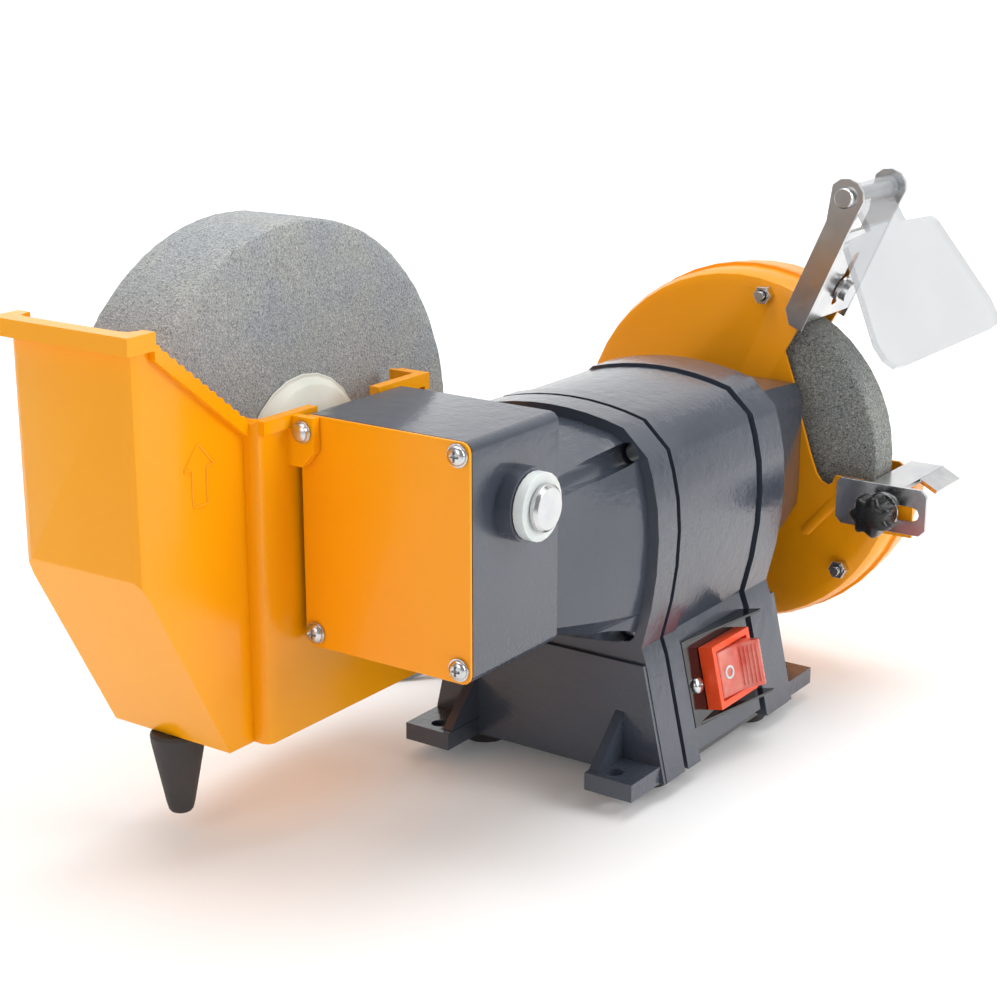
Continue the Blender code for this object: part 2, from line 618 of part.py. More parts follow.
def build_switch(root):
    left, right = SWITCH_PLATE
    body_left, body_right = SWITCH_BODY
    plate = face_box(left, right, 1, -SWITCH_HEIGHT + 1, GAP, 1.5)
    for edge in (1, -SWITCH_HEIGHT + 2.2):
        hood = prism([(left + 2, 0.8), (right, 0.8), (right, SWITCH_HOOD), (right - 3, SWITCH_HOOD)], "Z",
                     edge, edge - 1.2)
        plate = join(plate, hood)
    plate = cut(plate, face_box(body_left + 2, body_right - 2, -7, -32, -1, 3))
    plate = cut(plate, cylinder(SCREW_RADIUS + GAP, "Y", (left + 6, -20.5), -1, 3, SMALL_SEGMENTS))
    piece("switch_plate", on_switch_face(plate), "black_steel", root)
    body = face_box(body_left, body_right, -5, -34, 1.5 + GAP, SWITCH_PROUD)
    body = join(body, face_box(body_left + 2 + GAP, body_right - 2 - GAP, -7 - GAP, -32 + GAP, -20, 3))
    body = cut(body, face_box(body_left + 3, body_right - 3, -8, -31, 0.5, SWITCH_PROUD + 1))
    piece("switch_body", on_switch_face(body), "switch_red", root)
    middle = (body_left + body_right) / 2
    rocker = prism([(middle - 12.4, 4.6), (middle, 2.2), (middle + 11.2, 5.8), (middle + 11.6, 17),
                    (middle + 9, 18), (middle + 1.5, 10.6), (middle - 12.4, 8.6)], "Z", -8.6, -30.4)
    pivot = on_switch_face(face_box(middle - 1, middle + 1, -18.5, -20.5, ROCKER_PIVOT - 1, ROCKER_PIVOT + 1))
    origin = sum((vertex.co for vertex in pivot.verts), Vector()) / len(pivot.verts) / MM
    pivot.free()
    piece("switch_rocker", on_switch_face(rocker), "rocker_red", root, origin)
    screw = turned([(0, -10), (SCREW_RADIUS, -10), (SCREW_RADIUS, 1.5 + GAP), (3.6, 1.5 + GAP), (3.6, 2.9),
                    (2.4, 3.9), (0, 3.9)], "Y", (left + 6, -20.5), 16)
    piece("switch_screw", on_switch_face(screw), "zinc", root)


def smooth_route(points, spacing):
    """Points read at even steps from a smooth curve through the chosen ones."""
    nodes = [Vector(point) for point in points]
    nodes = [2 * nodes[0] - nodes[1]] + nodes + [2 * nodes[-1] - nodes[-2]]
    fine = []
    for a, b, c, d in zip(nodes, nodes[1:], nodes[2:], nodes[3:]):
        for step in range(20):
            t = step / 20
            fine.append(0.5 * (2 * b + (c - a) * t + (2 * a - 5 * b + 4 * c - d) * t ** 2
                               + (3 * b - a - 3 * c + d) * t ** 3))
    fine.append(nodes[-2])
    length = sum((b - a).length for a, b in zip(fine, fine[1:]))
    count = max(2, round(length / spacing))
    route, walked, wanted = [fine[0]], 0.0, length / count
    for a, b in zip(fine, fine[1:]):
        walked += (b - a).length
        while walked >= wanted - 1e-6 and len(route) <= count:
            route.append(b)
            wanted += length / count
    route[-1] = fine[-1]
    return route


CORD_ROUTE = [               # from the gland at the back of the base, along the table to the coil
    (185.0, 71.5, -92.0), (185.1, 77.0, -92.0), (185.5, 82.0, -95.5), (184.0, 89.0, -103.5), (179.5, 97.0, -109.0),
    (172.0, 104.0, -109.3), (158.0, 115.5, -109.3), (148.5, 128.0, -109.3), (149.0, 142.0, -109.3),
    (161.0, 151.0, -108.5), (174.0, 152.0, -106.3), (186.6, 152.0, -106.0)]


def build_cord(root):
    gland = turned([(0, 50), (5.8, 50), (5.8, 60.5), (9.0, 60.5), (9.0, 63.5), (6.5, 65), (5.0, 71.2),
                    (0, 71.2)], "Y", (CORD_EXIT_X, CORD_EXIT_Z), SMALL_SEGMENTS)
    piece("cord_gland", gland, "black_plastic", root)
    curve = bpy.data.curves.new("power_cord", "CURVE")
    curve.dimensions = "3D"
    curve.bevel_depth = CORD_RADIUS * MM
    curve.bevel_resolution = 2
    curve.use_fill_caps = True
    line = curve.splines.new("POLY")
    route = smooth_route(CORD_ROUTE, 12.0)
    route.insert(1, route[0] + Vector((0.0, 4.0, 0.0)))   # leaves the gland square to its face
    line.points.add(len(route) - 1)
    for point, place_on_route in zip(line.points, route):
        point.co = (*(place_on_route * MM), 1.0)
    cord = bpy.data.objects.new("power_cord", curve)
    bpy.context.scene.collection.objects.link(cord)
    cord.parent = root
    curve.materials.append(finish("cord_grey"))
    inner, outer = COIL_MIDDLE - COIL_HALF_WIDTH, COIL_MIDDLE + COIL_HALF_WIDTH
    coil = turned_ring([(inner, FLOOR + 3), (inner + 3, FLOOR), (outer - 3, FLOOR), (outer, FLOOR + 3),
                        (outer, FLOOR + COIL_HEIGHT - 3), (outer - 3, FLOOR + COIL_HEIGHT),
                        (inner + 3, FLOOR + COIL_HEIGHT), (inner, FLOOR + COIL_HEIGHT - 3)],
                       "Z", COIL_CENTRE, 28)
    piece("cord_coil", coil, "cord_grey", root)
    start = COIL_CENTRE[0] + outer + GAP
    sections = []
    for x, radius, height in ((0, 4.6, 7.0), (14, 6.5, 11.0), (22, 9.0, 15.0), (26, 17.5, 17.5), (50, 17.5, 17.5),
                              (56, 16.5, 17.5)):
        sections.append([(start + x, y, z) for y, z in circle((COIL_CENTRE[1], FLOOR + height), radius, 24)])
    plug = ring_mesh(sections)
    for side in (-1, 1):
        pin = cylinder(2.4, "X", (COIL_CENTRE[1] + side * 9.5, FLOOR + 17.5), start + 54, start + 75, 12, 0.8)
        plug = join(plug, pin)
    piece("power_plug", plug, "black_plastic", root)


# ---- gearbox and wet side -----------------------------------------------------------------------
def cover_screw_places():
    """Cover screws and the trough's screw, in (y, z)."""
    inset = 5.2
    return {"cover_screw_1": (GEARBOX_FRONT + inset, GEARBOX_TOP - inset),
            "cover_screw_2": (GEARBOX_FRONT + inset, GEARBOX_BOTTOM + 6),
            "cover_screw_3": (GEARBOX_BACK - inset, GEARBOX_BOTTOM + 6),
            "trough_screw": (GEARBOX_BACK - 4.5, GEARBOX_TOP - 6)}


def gearbox_outline(grow=0.0):
    return rounded_box(GEARBOX_FRONT - grow, GEARBOX_BACK + grow, GEARBOX_BOTTOM - grow, GEARBOX_TOP + grow,
                       GEARBOX_CORNER)


def gearbox_housing():
    """Cast box, open towards its cover, with solid corners for the screws."""
    front, back = GEARBOX_FRONT + GEARBOX_WALL, GEARBOX_BACK - GEARBOX_WALL
    low, high = GEARBOX_BOTTOM + GEARBOX_WALL, GEARBOX_TOP - GEARBOX_WALL
    corner = 9.0
    room = [(front + corner, low), (back - corner, low), (back, low + corner), (back, high - corner),
            (back - corner, high), (front + corner, high), (front, high - corner), (front, low + corner)]
    body = prism(gearbox_outline(), "X", COVER_THICKNESS + GAP, GEARBOX_LENGTH)
    body = join(body, cylinder(BOSS_RADIUS, "Y", WET_AXIS, GEARBOX_FRONT + 3, GEARBOX_FRONT - BOSS_HEIGHT))
    body = cut(body, prism(room, "X", 0, GEARBOX_LENGTH - 4))
    body = cut(body, cylinder(clear(BUSH_RADIUS, 24), "Y", WET_AXIS, GEARBOX_FRONT - 20, GEARBOX_BACK + 20, 24))
    body = cut(body, cylinder(SHAFT_RADIUS + 1.5, "X", (0, 0), 40, GEARBOX_LENGTH + 5, 24))
    for centre in cover_screw_places().values():
        body = cut(body, cylinder(clear(SCREW_RADIUS, 12), "X", centre, 0, 14, 12))
    return body


def gearbox_cover():
    body = prism(gearbox_outline(), "X", 0, COVER_THICKNESS)
    for centre in cover_screw_places().values():
        body = cut(body, cylinder(clear(SCREW_RADIUS, 12), "X", centre, -2, 4, 12))
    return body


def cover_screw(centre, seat):
    """Pan-head screw with its washer, seated at an X position."""
    top = seat - GAP
    return turned([(0, 12), (SCREW_RADIUS, 12), (SCREW_RADIUS, top), (SCREW_HEAD_RADIUS, top),
                   (SCREW_HEAD_RADIUS, top - 0.8), (SCREW_HEAD_RADIUS - 0.8, top - 0.8),
                   (SCREW_HEAD_RADIUS - 1.0, top - 2.0), (2.2, top - SCREW_HEAD_HEIGHT),
                   (0, top - SCREW_HEAD_HEIGHT)], "X", centre, 12)


def bush(sleeve_end, flange_start, flange_end):
    """Plain bush with a flange; a stepped ring round the output shaft."""
    bore = clear(OUTPUT_RADIUS, 24)
    return turned_ring([(bore, sleeve_end), (BUSH_RADIUS, sleeve_end), (BUSH_RADIUS, flange_start),
                        (BUSH_FLANGE_RADIUS, flange_start), (BUSH_FLANGE_RADIUS, flange_end), (bore, flange_end)],
                       "Y", WET_AXIS, 24)


def worm_wheel():
    """Wheel with tapered teeth; one gap lies over the worm's thread in the drawn position."""
    root, tip = GEAR_RADIUS - GEAR_MODULE * 1.25, GEAR_RADIUS + GEAR_MODULE * 0.7
    pitch = TAU / GEAR_TEETH
    outline = []
    for tooth in range(GEAR_TEETH):
        middle = -math.pi / 2 + (tooth + 0.5) * pitch + worm_phase()
        for radius, share in ((root, -0.27), (tip, -0.12), (tip, 0.12), (root, 0.27)):
            angle = middle + share * pitch
            outline.append((WET_AXIS_X + radius * math.cos(angle), WET_AXIS_Z + radius * math.sin(angle)))
    body = prism(outline, "Y", -GEAR_WIDTH / 2, GEAR_WIDTH / 2)
    return cut(body, cylinder(clear(OUTPUT_RADIUS, 24), "Y", WET_AXIS, -GEAR_WIDTH, GEAR_WIDTH, 24))


def worm_phase():
    """Turn of the wheel that puts a tooth gap over the worm's thread at the top of the worm."""
    lead = math.pi * GEAR_MODULE
    thread_x = lead * (0.25 - WORM_TURNS / 2) % lead
    return thread_x / GEAR_RADIUS


def output_shaft():
    end = WET_STONE_FRONT + WET_STONE_WIDTH - 1
    head = GEARBOX_FRONT - BOSS_HEIGHT - BUSH_FLANGE - 2 * GAP
    return turned([(0, end), (OUTPUT_RADIUS, end), (OUTPUT_RADIUS, head), (9.6, head), (9.6, head - 2),
                   (8.4, head - 3.2), (0, head - 3.2)], "Y", WET_AXIS, 24)


def wet_stone():
    back = WET_STONE_FRONT + WET_STONE_WIDTH
    bore = clear(OUTPUT_RADIUS, 24)
    return turned_ring([(bore, WET_STONE_FRONT), (WET_STONE_RADIUS - 1, WET_STONE_FRONT),
                        (WET_STONE_RADIUS, WET_STONE_FRONT + 1), (WET_STONE_RADIUS, back - 1),
                        (WET_STONE_RADIUS - 1, back), (34.0, back), (34.0, back - WET_STONE_RECESS),
                        (bore, back - WET_STONE_RECESS)], "Y", WET_AXIS, 48)


def wet_flange():
    """Domed plastic flange in front of the wet stone, with the hub that spaces it from the gearbox."""
    seat = WET_STONE_FRONT - GAP
    start = GEARBOX_BACK + BUSH_FLANGE + 2 * GAP
    bore = clear(OUTPUT_RADIUS, 24)
    dome = [(16.0 + (WET_FLANGE_RADIUS - 17.5) * math.sin(math.radians(a)),
             seat - WET_FLANGE_HEIGHT * 0.9 * math.cos(math.radians(a)) - 1.0) for a in (0, 30, 60, 90)]
    return turned_ring([(bore, seat), (bore, start), (11.0, start), (11.0, seat - WET_FLANGE_HEIGHT)] + dome
                       + [(WET_FLANGE_RADIUS, seat - 1.0), (WET_FLANGE_RADIUS, seat)], "Y", WET_AXIS, 24)


def wet_nut():
    """Hexagon nut with a broad washer face, in the recess behind the stone."""
    seat = WET_STONE_FRONT + WET_STONE_WIDTH - WET_STONE_RECESS + GAP
    body = join(cylinder(26.0, "Y", WET_AXIS, seat, seat + 3), prism(circle(WET_AXIS, 13.0, 6), "Y", seat + 1, seat + 11))
    return cut(body, cylinder(clear(OUTPUT_RADIUS, 24), "Y", WET_AXIS, seat - 5, seat + 20, 24))


def trough_plan(inset):
    """Outline of the trough from above, in (x, y)."""
    left, right = TROUGH_LEFT + inset, TROUGH_RIGHT - inset
    return (arc((left + 4.5, TROUGH_BACK - inset - 4.5), 4.5, 180, 90, 2)
            + arc((right - 4.5, TROUGH_BACK - inset - 4.5), 4.5, 90, 0, 2)
            + [(right, TROUGH_MOTOR_FRONT + inset), (TROUGH_STEP_RIGHT - inset, TROUGH_MOTOR_FRONT + inset),
               (TROUGH_STEP_RIGHT - inset, TROUGH_STEP_FRONT + inset)]
            + arc((TROUGH_STEP_LEFT + inset + 3.5, TROUGH_STEP_FRONT + inset + 3.5), 3.5, 270, 180, 2)
            + [(TROUGH_STEP_LEFT + inset, TROUGH_FRONT + inset)]
            + arc((left + 4.5, TROUGH_FRONT + inset + 4.5), 4.5, 270, 180, 2))


def trough_side(inset, rise=0.0):
    """Outline of the trough from the front, in (x, z), with its rim stepping down to the motor."""
    bottom = TROUGH_BOTTOM + inset
    slope_in = inset * 1.13
    outline = [(WET_AXIS_X - TROUGH_BOTTOM_HALF + slope_in * 0.6, bottom),
               (WET_AXIS_X + TROUGH_BOTTOM_HALF - slope_in * 0.6, bottom), (TROUGH_RIGHT - inset, TROUGH_KINK)]
    if rise:
        return outline + [(TROUGH_RIGHT - inset, rise), (TROUGH_LEFT + inset, rise), (TROUGH_LEFT + inset, TROUGH_KINK)]
    return outline + [(TROUGH_RIGHT, TROUGH_MOTOR_RIM), (TROUGH_STEP_RIGHT + 4, TROUGH_MOTOR_RIM),
                      (TROUGH_STEP_RIGHT + 2, TROUGH_LOW_RIM - 5), (TROUGH_STEP_RIGHT, TROUGH_LOW_RIM),
                      (TROUGH_STEP_LEFT + 2, TROUGH_LOW_RIM), (TROUGH_STEP_LEFT - 2, TROUGH_LOW_RIM - 3),
                      (TROUGH_LEFT + 9.5, TROUGH_TOP - RIM_HEIGHT), (TROUGH_LEFT + 9.5, TROUGH_TOP),
                      (TROUGH_LEFT, TROUGH_TOP), (TROUGH_LEFT, TROUGH_KINK)]


def sloping_rim():
    """Toothed rim down the slope of the front wall, in (x, z)."""
    teeth = 12
    start = (TROUGH_LEFT + 9.5, TROUGH_TOP - RIM_HEIGHT + 2)
    end = (TROUGH_STEP_LEFT, TROUGH_LOW_RIM - 1)
    run = (end[0] - start[0]) / teeth
    fall = (end[1] - start[1]) / teeth
    top = []
    for tooth in range(teeth):
        x, z = start[0] + run * tooth, start[1] + fall * tooth
        top += [(x, z), (x + run * 0.55, z + fall * 0.1)]
    return top + [end, (end[0], end[1] - 6), (start[0], start[1] - 6)]


def trough():
    """Water trough: thin walls with sloping ends, open above, and slotted for the output shaft."""
    top = TROUGH_TOP + 20
    body = common(prism(trough_plan(0), "Z", TROUGH_BOTTOM - 1, TROUGH_TOP + 1), prism(trough_side(0), "Y", 30, 130))
    room = common(prism(trough_plan(TROUGH_WALL), "Z", TROUGH_BOTTOM - 1, top),
                  prism(trough_side(TROUGH_WALL, top), "Y", 30, 130))
    body = cut(body, room)
    left = TROUGH_LEFT
    rim_low = TROUGH_TOP - RIM_HEIGHT
    rim = box(left - RIM_OUT, left + 1, TROUGH_FRONT - 4, TROUGH_BACK + 4, rim_low, TROUGH_TOP)
    rim = join(rim, box(left - 2, left + 9.5, TROUGH_FRONT - 4, TROUGH_FRONT + 1, rim_low, TROUGH_TOP),
               box(left - 2, left + 9.5, TROUGH_BACK - 1, TROUGH_BACK + 4, rim_low, TROUGH_TOP))
    slope = prism(sloping_rim(), "Y", TROUGH_FRONT - 3.2, TROUGH_FRONT + 1)
    lip = TROUGH_STEP_FRONT - 2.3
    low_rim = box(TROUGH_STEP_LEFT + 1, TROUGH_STEP_RIGHT, lip, TROUGH_STEP_FRONT + 1, TROUGH_LOW_RIM - 5.5,
                  TROUGH_LOW_RIM)
    hook = box(TROUGH_STEP_RIGHT - 1, TROUGH_STEP_RIGHT + 2.3, lip, TROUGH_MOTOR_FRONT, TROUGH_LOW_RIM - 7,
               TROUGH_LOW_RIM)
    tab = prism([(TROUGH_STEP_FRONT + 1, TROUGH_LOW_RIM - 0.6), (GEARBOX_BACK - 10, TROUGH_LOW_RIM - 0.6),
                 (GEARBOX_BACK - 10, TROUGH_LOW_RIM - 14), (GEARBOX_BACK - 4, TROUGH_LOW_RIM - 21),
                 (TROUGH_STEP_FRONT + 1, TROUGH_LOW_RIM - 21)], "X", -4.2, -GAP)
    body = join(body, rim, slope, low_rim, hook, tab)
    notch = prism([(WET_AXIS_X + NOTCH_RADIUS, TROUGH_TOP)] + [(WET_AXIS_X - NOTCH_RADIUS, TROUGH_TOP)]
                  + arc(WET_AXIS, NOTCH_RADIUS, 180, 360, 8), "Y", TROUGH_STEP_FRONT - 10, TROUGH_STEP_FRONT + 8)
    body = cut(body, notch)
    body = cut(body, cylinder(clear(SCREW_RADIUS, 12), "X", cover_screw_places()["trough_screw"], -6, 2, 12))
    nozzle = cylinder(DRAIN_NOZZLE_RADIUS, "Z", (DRAIN_X, DRAIN_Y), TROUGH_BOTTOM + 1, TROUGH_BOTTOM - 9.5, 20)
    body = join(body, nozzle)
    return cut(body, cylinder(3.5, "Z", (DRAIN_X, DRAIN_Y), TROUGH_BOTTOM + 5, TROUGH_BOTTOM - 12, 12))


def drain_plug():
    """Tapered rubber stopper pushed over the nozzle."""
    top = TROUGH_BOTTOM - GAP
    bore = clear(DRAIN_NOZZLE_RADIUS, 20)
    end = top - DRAIN_PLUG_LENGTH
    return turned([(0, top - 12), (bore, top - 12), (bore, top), (10.6, top), (11.5, top - 1.5), (11.2, top - 5),
                   (6.0, end + 4), (5.2, end + 1), (4.4, end), (0, end)], "Z", (DRAIN_X, DRAIN_Y), 24)


def build_wet_side(root):
    piece("gearbox_housing", gearbox_housing(), "slate_paint", root)
    piece("gearbox_cover", gearbox_cover(), "orange_steel", root)
    for name, centre in cover_screw_places().items():
        seat = -4.2 if name == "trough_screw" else 0.0
        piece(name, cover_screw(centre, seat), "zinc", root)
    front, back = GEARBOX_FRONT - BOSS_HEIGHT - GAP, GEARBOX_BACK + GAP
    piece("front_bush", bush(front + 16, front, front - BUSH_FLANGE), "nylon", root)
    piece("rear_bush", bush(back - 8, back, back + BUSH_FLANGE), "nylon", root)
    axle = (WET_AXIS_X, 0.0, WET_AXIS_Z)
    piece("output_shaft", output_shaft(), "zinc", root, axle)
    piece("worm_wheel", worm_wheel(), "bronze", root, axle)
    piece("wet_stone", wet_stone(), "wet_grit", root, axle)
    piece("wet_flange", wet_flange(), "cream_plastic", root, axle)
    piece("wet_nut", wet_nut(), "zinc", root, axle)
    piece("trough", trough(), "orange_plastic", root)
    piece("drain_plug", drain_plug(), "rubber", root, (DRAIN_X, DRAIN_Y, TROUGH_BOTTOM))


# ---- dry side -----------------------------------------------------------------------------------
def guard_window():
    """Opening of the guard around the front of the dry stone, in (y, z)."""
    ledge = 3.0 - DRY_STONE_RADIUS
    return [(BRACKET_START[0] + 3.4, BRACKET_START[1] + 1.0), (-27.0, 52.3), (-32.0, 39.4), (-37.4, 20.0), (-43.2, 3.1), (-46.9, -6.0),
            (-49.8, -9.6), (-53.2, -11.0), (-55.8, -9.1), (-57.3, REST_TOP - 1), (ledge, REST_TOP - 1),
            (ledge - 3, REST_TOP - 3), (-1.4 * GUARD_RADIUS, REST_TOP - 3), (-1.4 * GUARD_RADIUS, 1.46 * GUARD_RADIUS),
            (BRACKET_START[0] - 30.0, 1.46 * GUARD_RADIUS)]


def guard_dish(start, end, plate, hub):
    """Pressed half of the guard: a flat plate, a rounded edge and a rim, open at the stone."""
    way = math.copysign(1, end - start)
    edge = GUARD_EDGE
    outside = [(GUARD_RADIUS - edge + edge * math.sin(math.radians(a)),
                start + way * edge * (1 - math.cos(math.radians(a)))) for a in (0, 45, 90)]
    inner_edge = edge - plate
    inside = [(GUARD_RADIUS - edge + inner_edge * math.sin(math.radians(a)),
               start + way * (edge - inner_edge * math.cos(math.radians(a)))) for a in (90, 45, 0)]
    lip = GUARD_RADIUS + 1.5
    profile = ([(hub, start)] + outside + [(GUARD_RADIUS, end - way * 2.2), (lip, end - way * 1.8), (lip, end),
                                           (GUARD_RADIUS - plate, end)] + inside + [(hub, start + way * plate)])
    return turned_ring(profile, "X", (0, 0), 48)


def radial_frame(along, behind):
    """Point (y, z) at a distance along the shield bracket and behind the front of its web."""
    return (BRACKET_START[0] + WEB_DIRECTION[0] * along + WEB_REAR[0] * behind,
            BRACKET_START[1] + WEB_DIRECTION[1] * along + WEB_REAR[1] * behind)


def guard_bolt_places():
    return [(GUARD_BOLT_CIRCLE * math.cos(math.radians(a)), GUARD_BOLT_CIRCLE * math.sin(math.radians(a)))
            for a in GUARD_BOLT_ANGLES]


def inner_guard():
    body = guard_dish(GUARD_START, GUARD_SEAM - GAP / 2, GUARD_SHEET, 12.0)
    ear = box(GUARD_START, GUARD_START + GUARD_SHEET, REST_STUD[0] - 13.5, REST_STUD[0] + 24.5,
              REST_STUD[1] - 13, REST_TOP)
    body = join(body, ear)
    body = cut(body, prism(guard_window(), "X", GUARD_START - 5, GUARD_SEAM + 5))
    low, high = BRACKET_SHEET + 0.6, BRACKET_SHEET + 0.6 + GUARD_SHEET
    root_tab = [radial_frame(12.5, low), radial_frame(22, low), radial_frame(22, high), radial_frame(12.5, high)]
    top_tab = [radial_frame(18.5, low), radial_frame(33, low), radial_frame(33, high), radial_frame(18.5, high)]
    body = join(body, prism(root_tab, "X", GUARD_START + 8, GUARD_SEAM - GAP),
                prism(top_tab, "X", GUARD_START + 8, GUARD_END - 8))
    body = cut(body, bracket_bar(clear(2.9, 16), -2, 12))
    for centre in guard_bolt_places():
        body = cut(body, cylinder(clear(BOLT_RADIUS, 12), "X", centre, GUARD_START - 5, GUARD_SEAM + 5, 12))
    return cut(body, cylinder(clear(2.9, 16), "X", REST_STUD, GUARD_START - 5, GUARD_START + 5, 16))


def outer_guard():
    body = guard_dish(GUARD_END, GUARD_SEAM + GAP / 2, GUARD_SHEET, 5.0)
    body = cut(body, prism(guard_window(), "X", GUARD_SEAM - 5, GUARD_END + 5))
    for centre in guard_bolt_places():
        body = cut(body, cylinder(clear(BOLT_RADIUS, 12), "X", centre, GUARD_SEAM - 5, GUARD_END + 5, 12))
    return body


def bracket_bar(radius, start, end):
    """Round bar through the bracket's web, square to it, at the bracket screw."""
    middle = BRACKET_SLOT[0] + 10.0
    mesh = cylinder(radius, "Z", (0, 0), start, end, 16)
    for vertex in mesh.verts:
        x, along, behind = vertex.co / MM
        y, z = radial_frame(middle + along, behind)
        vertex.co = Vector((SHIELD_MIDDLE + x, y, z)) * MM
    return face_outwards(mesh)


def shield_bracket():
    """Folded channel that straddles the guard, with a slotted web and two ears for the hinge pin."""
    outer = (GUARD_END - GUARD_START) / 2 + BRACKET_SIDE_GAP + BRACKET_SHEET
    left, right = SHIELD_MIDDLE - outer, SHIELD_MIDDLE + outer
    front, rear = 0.15, BRACKET_SHEET
    web = prism([radial_frame(s, b) for s, b in ((BRACKET_WEB[0], front), (BRACKET_WEB[1], front),
                                                 (BRACKET_WEB[1], rear), (BRACKET_WEB[0], rear))],
                "X", left + 1, right - 1)
    round_end = [(BRACKET_PIN[0] + 9 * math.cos(math.radians(a)), BRACKET_PIN[1] - 9 * math.sin(math.radians(a)))
                 for a in (75, 45, 15, -15, -45, -75)]
    side = [radial_frame(s, b) for s, b in [(0, 0.0), (BRACKET_WEB[1] + 2, 0)] + round_end
            + [(BRACKET_WEB[1], BRACKET_DEPTH), (6, BRACKET_DEPTH), (0, BRACKET_DEPTH - 5)]]
    body = join(web, prism(side, "X", left, left + BRACKET_SHEET), prism(side, "X", right - BRACKET_SHEET, right))
    half = BRACKET_SLOT_WIDTH / 2
    ends = (BRACKET_SLOT[0] + half, BRACKET_SLOT[1] - half)
    slot = [(ends[1] + half * math.cos(math.radians(a)), half * math.sin(math.radians(a))) for a in (-90, -45, 0, 45, 90)]
    slot += [(ends[0] - half * math.cos(math.radians(a)), half * math.sin(math.radians(a))) for a in (90, 45, 0, -45, -90)]
    tool = ring_mesh([[(SHIELD_MIDDLE + x, *radial_frame(s, b)) for s, x in slot] for b in (-3, 6)])
    pin = radial_frame(*BRACKET_PIN)
    return cut(body, tool, cylinder(clear(PIN_RADIUS, 16), "X", pin, left - 5, right + 5, 16))


def bracket_screw():
    """Hexagon screw with its washer, standing square on the web."""
    middle = BRACKET_SLOT[0] + 10.0
    rings = []
    for radius, behind in ((5.2, -5.4), (5.4, -2.0), (6.6, -1.8), (6.6, -GAP), (2.9, -GAP), (2.9, 11.0)):
        rings.append([(SHIELD_MIDDLE + x, *radial_frame(middle + s, behind)) for x, s in circle((0, 0), radius, 18)])
    return ring_mesh(rings)


def shield_points(outline, lift):
    """Points of the shield from (x, distance below the pin), at a height off its middle plane."""
    pin = radial_frame(*BRACKET_PIN)
    down = (-math.sin(SHIELD_TILT), -math.cos(SHIELD_TILT))
    return [(x, pin[0] + down[0] * s - down[1] * lift, pin[1] + down[1] * s + down[0] * lift) for x, s in outline]


def eye_shield():
    """Clear plate with rounded corners on a hinge barrel between the bracket's ears."""
    middle = SHIELD_MIDDLE
    bottom = SHIELD_LENGTH
    outline = ([(middle - 19.5, 2), (middle + 19.5, 2), (middle + 19.5, 18.5), (middle + 48, 20), (middle + 53, 23)]
               + [(x + middle + 52, s + bottom - 14) for x, s in ((13.3, 0), (12, 8), (6, 13), (-2, 14))]
               + [(x + middle - 54, s + bottom - 14) for x, s in ((2, 14), (-6, 13), (-12, 8), (-13.3, 0))]
               + [(middle - 49, 23), (middle - 44, 20), (middle - 19.5, 18.5)])
    half = SHIELD_THICKNESS / 2
    plate = ring_mesh([shield_points(outline, lift) for lift in (-half, half)])
    pin = radial_frame(*BRACKET_PIN)
    ears = (GUARD_END - GUARD_START) / 2 + BRACKET_SIDE_GAP - GAP
    barrel = cylinder(5.6, "X", pin, middle - ears, middle + ears, 20)
    return cut(join(plate, barrel), cylinder(clear(PIN_RADIUS, 16), "X", pin, middle - 40, middle + 40, 16))


def hinge_pin():
    outer = (GUARD_END - GUARD_START) / 2 + BRACKET_SIDE_GAP + BRACKET_SHEET + GAP
    left, right = SHIELD_MIDDLE - outer, SHIELD_MIDDLE + outer
    return turned([(0, left - 3), (4.4, left - 3), (5.0, left - 2), (5.0, left), (PIN_RADIUS, left),
                   (PIN_RADIUS, right), (5.2, right), (5.2, right + 3.6), (0, right + 3.6)], "X",
                  radial_frame(*BRACKET_PIN), 16)


def tool_rest():
    """Folded sheet: slotted side plate, top plate in front of the stone and its sloping front lip."""
    left = REST_START
    right = REST_START + 48.0
    low = REST_TOP - REST_DEPTH
    stud = REST_STUD[0]
    rear, front = stud + 24.5, stud - 21.9
    side = prism([(rear, REST_TOP - 2.5), (rear, low + 3), (rear - 3, low), (front + 3, low), (front, low + 3),
                  (front, REST_TOP - 3), (front + 3, REST_TOP), (rear - 2, REST_TOP)], "X", left, left + REST_SHEET)
    top = box(left, right, stud - 10.0, -DRY_STONE_RADIUS - 2.4, REST_TOP - REST_SHEET, REST_TOP)
    lip = prism([(stud - 9.5, REST_TOP), (stud - 9.5, REST_TOP - REST_SHEET), (stud - 17.9, REST_TOP - 6.8),
                 (stud - 18.9, REST_TOP - 5.0)],
                "X", left + 20, right)
    half = REST_SLOT_WIDTH / 2
    slot = (arc((REST_SLOT[1] - half, REST_STUD[1]), half, -90, 90, 4)
            + arc((REST_SLOT[0] + half, REST_STUD[1]), half, 90, 270, 4))
    return cut(join(side, top, lip), prism(slot, "X", left - 5, left + 5))


def rest_knob():
    """Seven-lobed knob with its pressure washer and stud."""
    start, seat = REST_START - 17.0, REST_START - GAP
    lobes = 7
    outline = []
    for step in range(lobes * 6):
        angle = TAU * step / (lobes * 6)
        radius = KNOB_RADIUS - 1.3 + 1.3 * math.cos(lobes * angle)
        outline.append((REST_STUD[0] + radius * math.cos(angle), REST_STUD[1] + radius * math.sin(angle)))
    knob = prism(outline, "X", start, seat - 4)
    neck = cylinder(6.5, "X", REST_STUD, seat - 5, seat - 1.4, 16)
    disc = cylinder(8.5, "X", REST_STUD, seat - 1.6, seat, 20)
    stud = cylinder(2.9, "X", REST_STUD, seat - 3, GUARD_START + 5, 16)
    return join(knob, neck, disc, stud)


